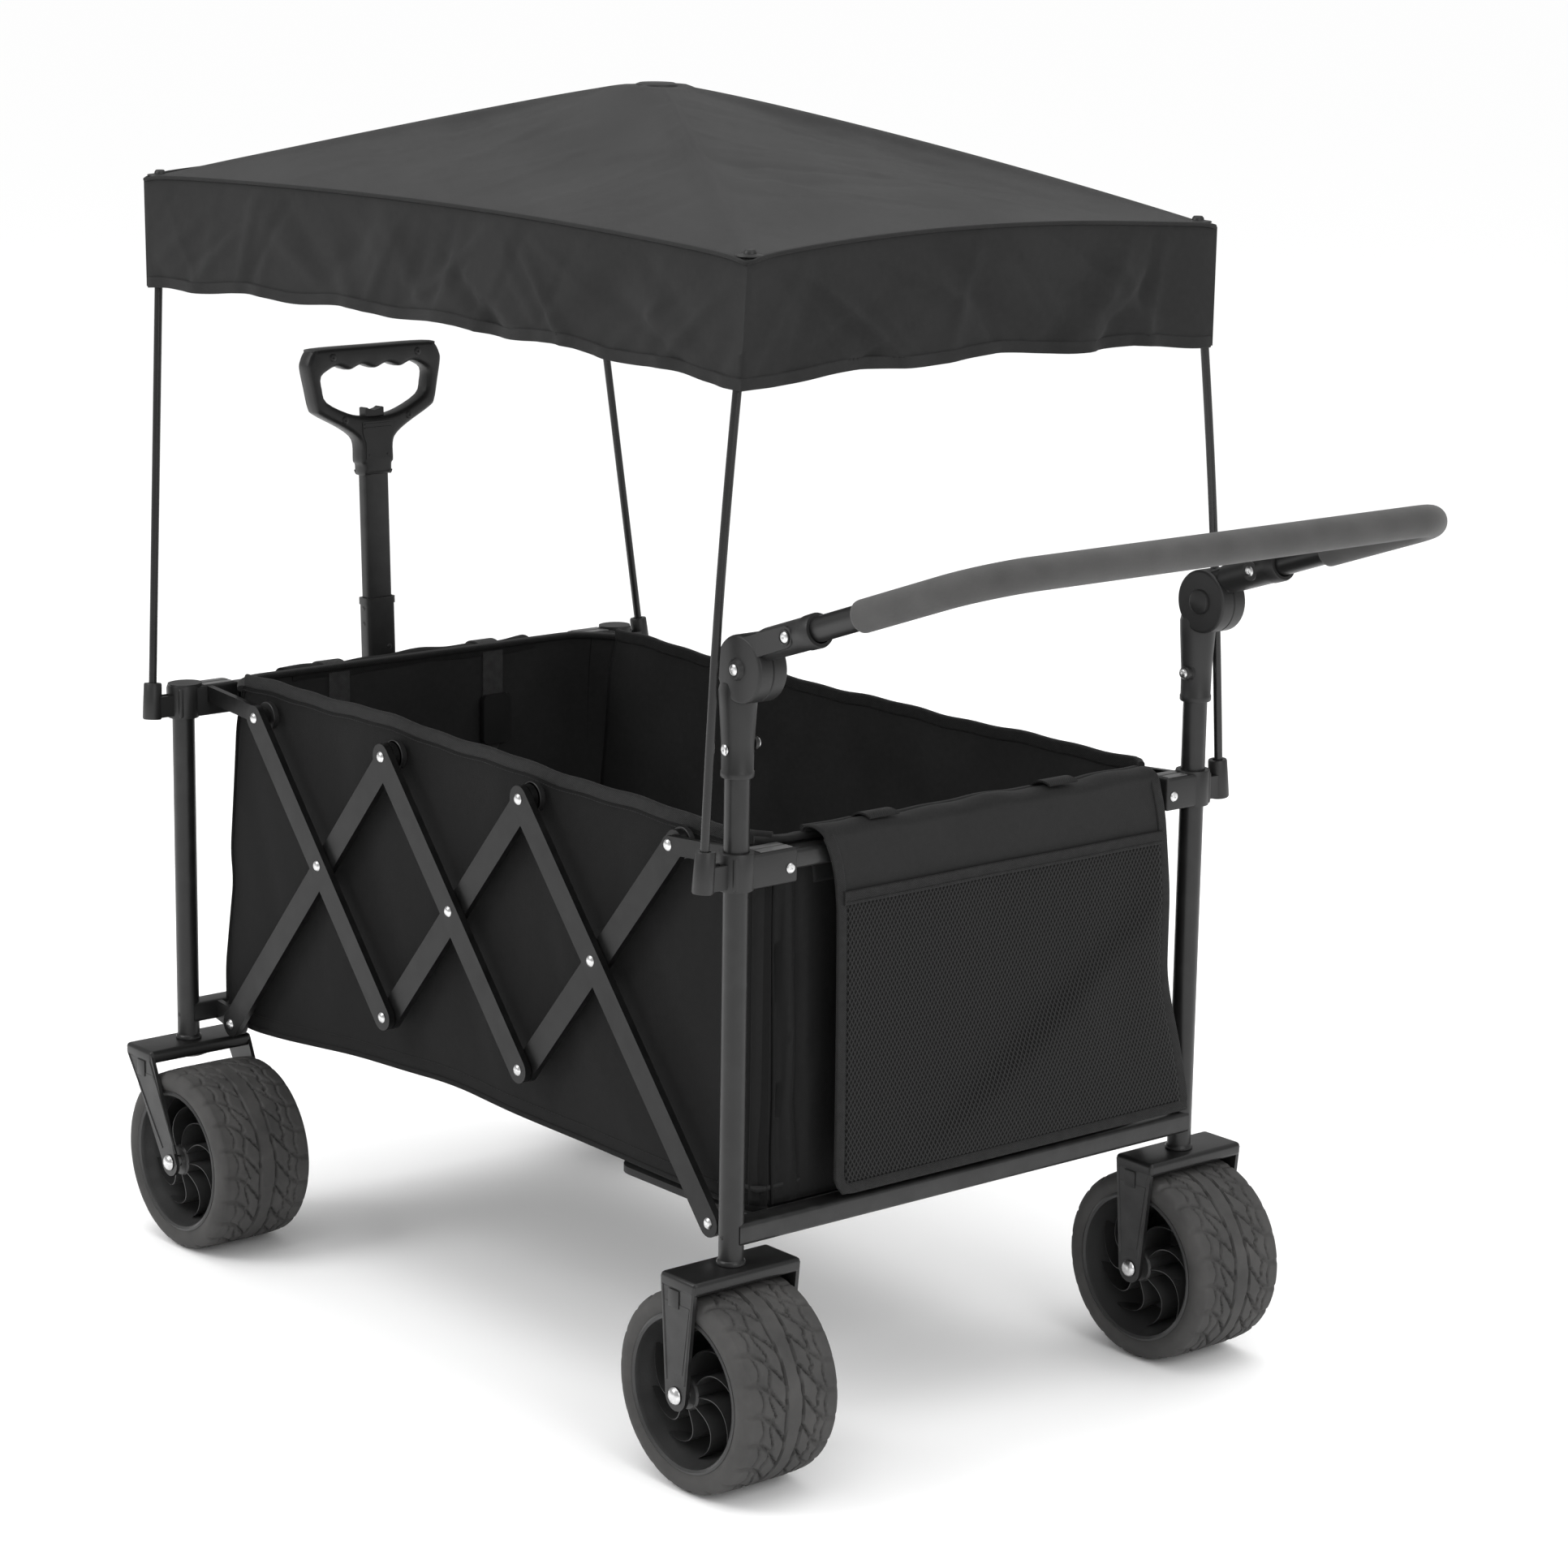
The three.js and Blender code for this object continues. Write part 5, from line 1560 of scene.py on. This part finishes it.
for index, (y0, y1) in enumerate(((-0.132, -0.099), (0.078, 0.112))):
    path = over_rim_path(1, BASKET_TOP - 0.0080, 0.012, 0.001)[5:-8]
    wide_strap(f"rear_rim_loop_{index + 1}", "rear_frame", path, y0, y1, STRAP)
for index, (y0, y1) in enumerate(((-0.107, -0.082), (0.084, 0.109))):
    path = over_rim_path(-1, 0.5510, 0.290, 0.040)
    wide_strap(f"front_strap_{index + 1}", "front_frame", path, y0, y1, INNER_STRAP)
buckle = rounded_rectangle(0.034, 0.052, 0.006)
bm = bmesh.new()
add_prism(bm, buckle, lambda y, z, x: at(x, 0.0965 + y, 0.482 + z), (-WALL_END + 0.0035, -WALL_END + 0.0085),
          0.0018, 3)
piece("strap_buckle", bm, PLASTIC, "front_frame")


# ---- canopy ----

canopy_low, canopy_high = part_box("canopy_cover")
CANOPY_X = (canopy_low.x + canopy_high.x) / 2
CANOPY_HALF_X = (canopy_high.x - canopy_low.x) / 2
CANOPY_HALF_Y = 0.269
HEM_INSET = {"front": 0.012, "rear": 0.0, "left": -0.006, "right": 0.0005}
EDGE_Z = 1.052
HEM_Z = canopy_low.z
APEX_Z = canopy_high.z
HUB_R = 0.050
EDGE_ARCH = (0.010, 0.013)
HEM_ARCH = (0.012, 0.0080, 0.013, 0.013)


def roof_edge(u, v):
    """Edge point towards (u, v) on the unit square; the edge arches up and in between its corners."""
    on_end = abs(u) >= abs(v)
    slide = v if on_end else u
    slack = 1 - slide * slide
    pull = 0.010 * slack
    x = u * (CANOPY_HALF_X - 0.0005 - (pull if on_end else 0))
    y = v * (CANOPY_HALF_Y - (0 if on_end else pull))
    lifted = 0.0035 * max(0, u) ** 8 * max(0, v) ** 8
    if u < 0:
        x += 0.002 * u * u
    return x, y, EDGE_Z + EDGE_ARCH[on_end] * slack - 0.004 * abs(slide) ** 24 + lifted


roof_soft = wrinkle_field(3, 24, (-0.44, 0.44), (-0.26, 0.26), (20, -25, 155, 35), 0.028, 0.0030)
roof_fine = wrinkle_field(8, 80, (-0.44, 0.44), (-0.26, 0.26), (30, -30, 150, 60), 0.008, 0.0015)


RIDGE_SAG = (0.0, -0.03)


def roof_point(u, v):
    """Roof at (u, v) on the unit square: straight ridges to the corners and cloth sagging between them."""
    reach = max(abs(u), abs(v))
    if reach < 1e-6:
        return Vector((CANOPY_X, 0, APEX_Z - 0.0015))
    ex, ey, ez = roof_edge(u / reach, v / reach)
    slide = min(abs(u), abs(v)) / reach
    hub = 0.6 * HUB_R / math.hypot(ex, ey)
    t = max(0.0, (reach - hub) / (1 - hub))
    bow = math.sin(math.pi * t)
    fall = (APEX_Z - 0.0015 - ez) * (t + 0.055 * bow * (1 - slide ** 3) + RIDGE_SAG[u > 0] * bow * slide ** 6)
    x, y = ex * reach, ey * reach
    crumple = (roof_soft(x, y) + roof_fine(x, y)) * math.sin(math.pi * min(1, reach * 1.02)) ** 0.7
    crumple *= 1 - slide ** 6
    ridge = 0.0036 * math.exp(-(((1 - slide) * reach / 0.035) ** 2)) * max(0, bow) ** 0.5
    top = 0.0012 * math.exp(-((reach / 0.12) ** 2))
    return Vector((CANOPY_X + x, y, APEX_Z - 0.0015 - fall - top + min(0.0, crumple - 0.0008) + ridge))


ROOF_STEPS = 128


def folds_with_canopy(obj):
    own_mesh(obj)


cloth("canopy_roof", (ROOF_STEPS, ROOF_STEPS), lambda u, v: roof_point(2 * u - 1, 2 * v - 1), CANOPY_SKIN,
      ROOF_LIT, "front_frame", "canopy_cover", offset=-1, folds=folds_with_canopy)


def edge_walk(t):
    """Point on the roof's edge, once round for t from 0 to 1, with its outward direction, slide and side."""
    lengths = (2 * CANOPY_HALF_X, 2 * CANOPY_HALF_Y) * 2
    s = (t % 1) * sum(lengths)
    for side, length in enumerate(lengths):
        if s <= length:
            break
        s -= length
    slide = 2 * s / length - 1
    u, v = ((slide, -1), (1, slide), (-slide, 1), (-1, -slide))[side]
    outward = ((0, -1), (1, 0), (0, 1), (-1, 0))[side]
    return roof_edge(u, v), outward, slide, side


VALANCE_STEPS = 560
SPANS = (CANOPY_HALF_X, CANOPY_HALF_Y) * 2
valance_soft = [wrinkle_field(50 + k, 12, (-span, span), (HEM_Z, EDGE_Z), (38, 142, 60, 120), 0.020, 0.0075)
                for k, span in enumerate(SPANS)]
valance_fine = [wrinkle_field(70 + k, int(130 * span), (-span, span), (HEM_Z, EDGE_Z), (35, 145, 50, 130, 70),
                              0.008, 0.0046) for k, span in enumerate(SPANS)]


def valance_point(u, v):
    """Valance from the roof's edge, v = 0, down to the hem, v = 1."""
    (x, y, z), outward, slide, side = edge_walk(u)
    along = slide * SPANS[side]
    loose = 1 - abs(slide) ** 10
    slack = 1 - slide * slide
    hem_z = HEM_Z + 0.002 + HEM_ARCH[side] * slack + 0.0022 * math.sin(along * 38 + side) * loose
    drop_z = z + (hem_z - z) * v
    swing = (valance_soft[side](along, drop_z) + valance_fine[side](along, drop_z)) * loose
    swing *= math.sin(math.pi * min(1, v * 0.62)) ** 0.8
    swing = max(-0.009, min(0.004, swing - 0.002 * loose * v)) + 0.006 * slack * v
    x -= HEM_INSET["rear" if x > 0 else "front"] * v * x / CANOPY_HALF_X
    y -= HEM_INSET["right" if y > 0 else "left"] * v * y / CANOPY_HALF_Y
    return Vector((CANOPY_X + x + outward[0] * swing, y + outward[1] * swing, drop_z))


cloth("canopy_valance", (VALANCE_STEPS, 30), valance_point, CANOPY_SKIN, VALANCE_SHADED, "front_frame",
      flip=True, offset=-1, folds=folds_with_canopy)
edge_path = []
for i in range(360):
    (x, y, z), outward, _, _ = edge_walk((i + 0.5) / 360)
    edge_path.append(Vector((CANOPY_X + x + outward[0] * 0.0012, y + outward[1] * 0.0012, z - 0.0006)))
strip("roof_piping", edge_path, 0.0036, 0.0036, "front_frame", VALANCE_SHADED, folds=folds_with_canopy,
      closed=True)
hem_path = [valance_point((i + 0.5) / 400, 0.965) for i in range(400)]
strip("valance_hem", hem_path, 0.0026, 0.0105, "front_frame", VALANCE_SHADED, folds=folds_with_canopy,
      closed=True)


def hem_stitches(t):
    outward = edge_walk(t)[1]
    return valance_point(t, 0.925) + Vector((outward[0], outward[1], 0)) * 0.0003


stitch_line("hem_stitching", hem_stitches, 560, "front_frame", folds=folds_with_canopy, slot="canopy_fabric")
bm = bmesh.new()
apex = Vector((CANOPY_X, 0, APEX_Z - 0.0040))
HUB_CAP = [(0, 0), (0.0205, 0), (0.0195, 0.0022), (0.016, 0.0035), (0, 0.0035)]
add_lathe(bm, HUB_CAP, apex, (0, 0, 1), 40)
hub_cap = piece("canopy_hub_cap", bm, PLASTIC, "front_frame")
folds_with_canopy(hub_cap)
STUD = [(0, 0), (0.0125, 0), (0.0120, 0.0010), (0.0088, 0.0014), (0.0056, 0.0020), (0.0052, 0.0038),
        (0.0038, 0.0054), (0, 0.0056)]
RIB_R = 0.0026
for place, end, side in CORNERS:
    _, tip = rod_line(place)
    top_z = roof_point((tip.x - CANOPY_X) / CANOPY_HALF_X, tip.y / CANOPY_HALF_Y).z
    stud = Vector((tip.x, tip.y, top_z - 0.001))
    bm = bmesh.new()
    add_lathe(bm, STUD, stud, (0, 0, 1), 28)
    add_lathe(bm, [(0, 0), (0.0062, 0), (0.0062, -0.020), (0, -0.020)], stud, (0, 0, 1), 20)
    piece(f"{place}_corner_stud", bm, PLASTIC, FRAME_BODY[end])
    reach = [0.05 + 0.95 * i / 24 for i in range(25)]
    path = [roof_point(0.955 * end * t, 0.94 * side * t) - Vector((0, 0, 0.0055)) for t in reach]
    bm = bmesh.new()
    add_sweep(bm, path, circle(RIB_R, 10))
    rib = piece(f"{place}_roof_rib", bm, STEEL, "front_frame", angle=60)
    folds_with_canopy(rib)


# ---- floor, light and camera ----

def studio():
    """White paper under an even white sky, with three area lamps."""
    scene = bpy.context.scene
    floor_mesh = bpy.data.meshes.new("floor")
    reach = 60
    corners = [(-reach, -reach, 0), (reach, -reach, 0), (reach, reach, 0), (-reach, reach, 0)]
    floor_mesh.from_pydata(corners, [], [(0, 1, 2, 3)])
    floor = bpy.data.objects.new("studio_floor", floor_mesh)
    scene.collection.objects.link(floor)
    paper = Nodes("studio_paper")
    floor.data.materials.append(paper.shade(Base_Color=(0.985, 0.985, 0.985, 1), Specular_IOR_Level=0.0,
                                            Roughness=0.9))
    world = bpy.data.worlds.new("studio")
    scene.world = world
    world.use_nodes = True
    background = world.node_tree.nodes["Background"]
    background.inputs["Color"].default_value = (1, 1, 1, 1)
    rays = world.node_tree.nodes.new("ShaderNodeLightPath")
    dim = world.node_tree.nodes.new("ShaderNodeMapRange")
    dim.inputs["To Min"].default_value = 1.0
    dim.inputs["To Max"].default_value = 0.45
    world.node_tree.links.new(rays.outputs["Is Glossy Ray"], dim.inputs["Value"])
    world.node_tree.links.new(dim.outputs["Result"], background.inputs["Strength"])
    lights = (("key", (-1.4, -3.0, 2.9), 52, 1.8), ("fill", (3.4, -0.4, 2.2), 34, 1.8),
              ("top", (0.1, 0.2, 4.2), 90, 4.5))
    for name, place, power, width in lights:
        data = bpy.data.lights.new(name, "AREA")
        data.energy = power
        data.size = width
        lamp = bpy.data.objects.new(name, data)
        lamp.location = place
        lamp.rotation_euler = (Vector((0, 0, 0.55)) - Vector(place)).to_track_quat("-Z", "Y").to_euler()
        scene.collection.objects.link(lamp)
    scene.view_settings.view_transform = "Standard"


CAMERA_PLACE = at(3.1000, -2.4609, 1.4011)
CAMERA_YAW, CAMERA_PITCH, CAMERA_ROLL = (math.radians(a) for a in (49.96, 12.80, 0.89))
LENS_RATIO = 2.7179


def camera():
    """Camera placed and turned as the photo was taken; the lens is given as a share of the sensor's width."""
    level = math.cos(CAMERA_PITCH)
    back = Vector((math.sin(CAMERA_YAW) * level, -math.cos(CAMERA_YAW) * level, math.sin(CAMERA_PITCH)))
    right = (-back).cross(Vector((0, 0, 1))).normalized()
    up = right.cross(-back)
    right, up = (right * math.cos(CAMERA_ROLL) + up * math.sin(CAMERA_ROLL),
                 up * math.cos(CAMERA_ROLL) - right * math.sin(CAMERA_ROLL))
    data = bpy.data.cameras.new("camera")
    data.sensor_width = 36
    data.lens = LENS_RATIO * data.sensor_width
    data.clip_end = 100
    obj = bpy.data.objects.new("camera", data)
    obj.matrix_world = Matrix.Translation(CAMERA_PLACE) @ Matrix((right, up, back)).transposed().to_4x4()
    bpy.context.scene.collection.objects.link(obj)
    bpy.context.scene.camera = obj


studio()
camera()
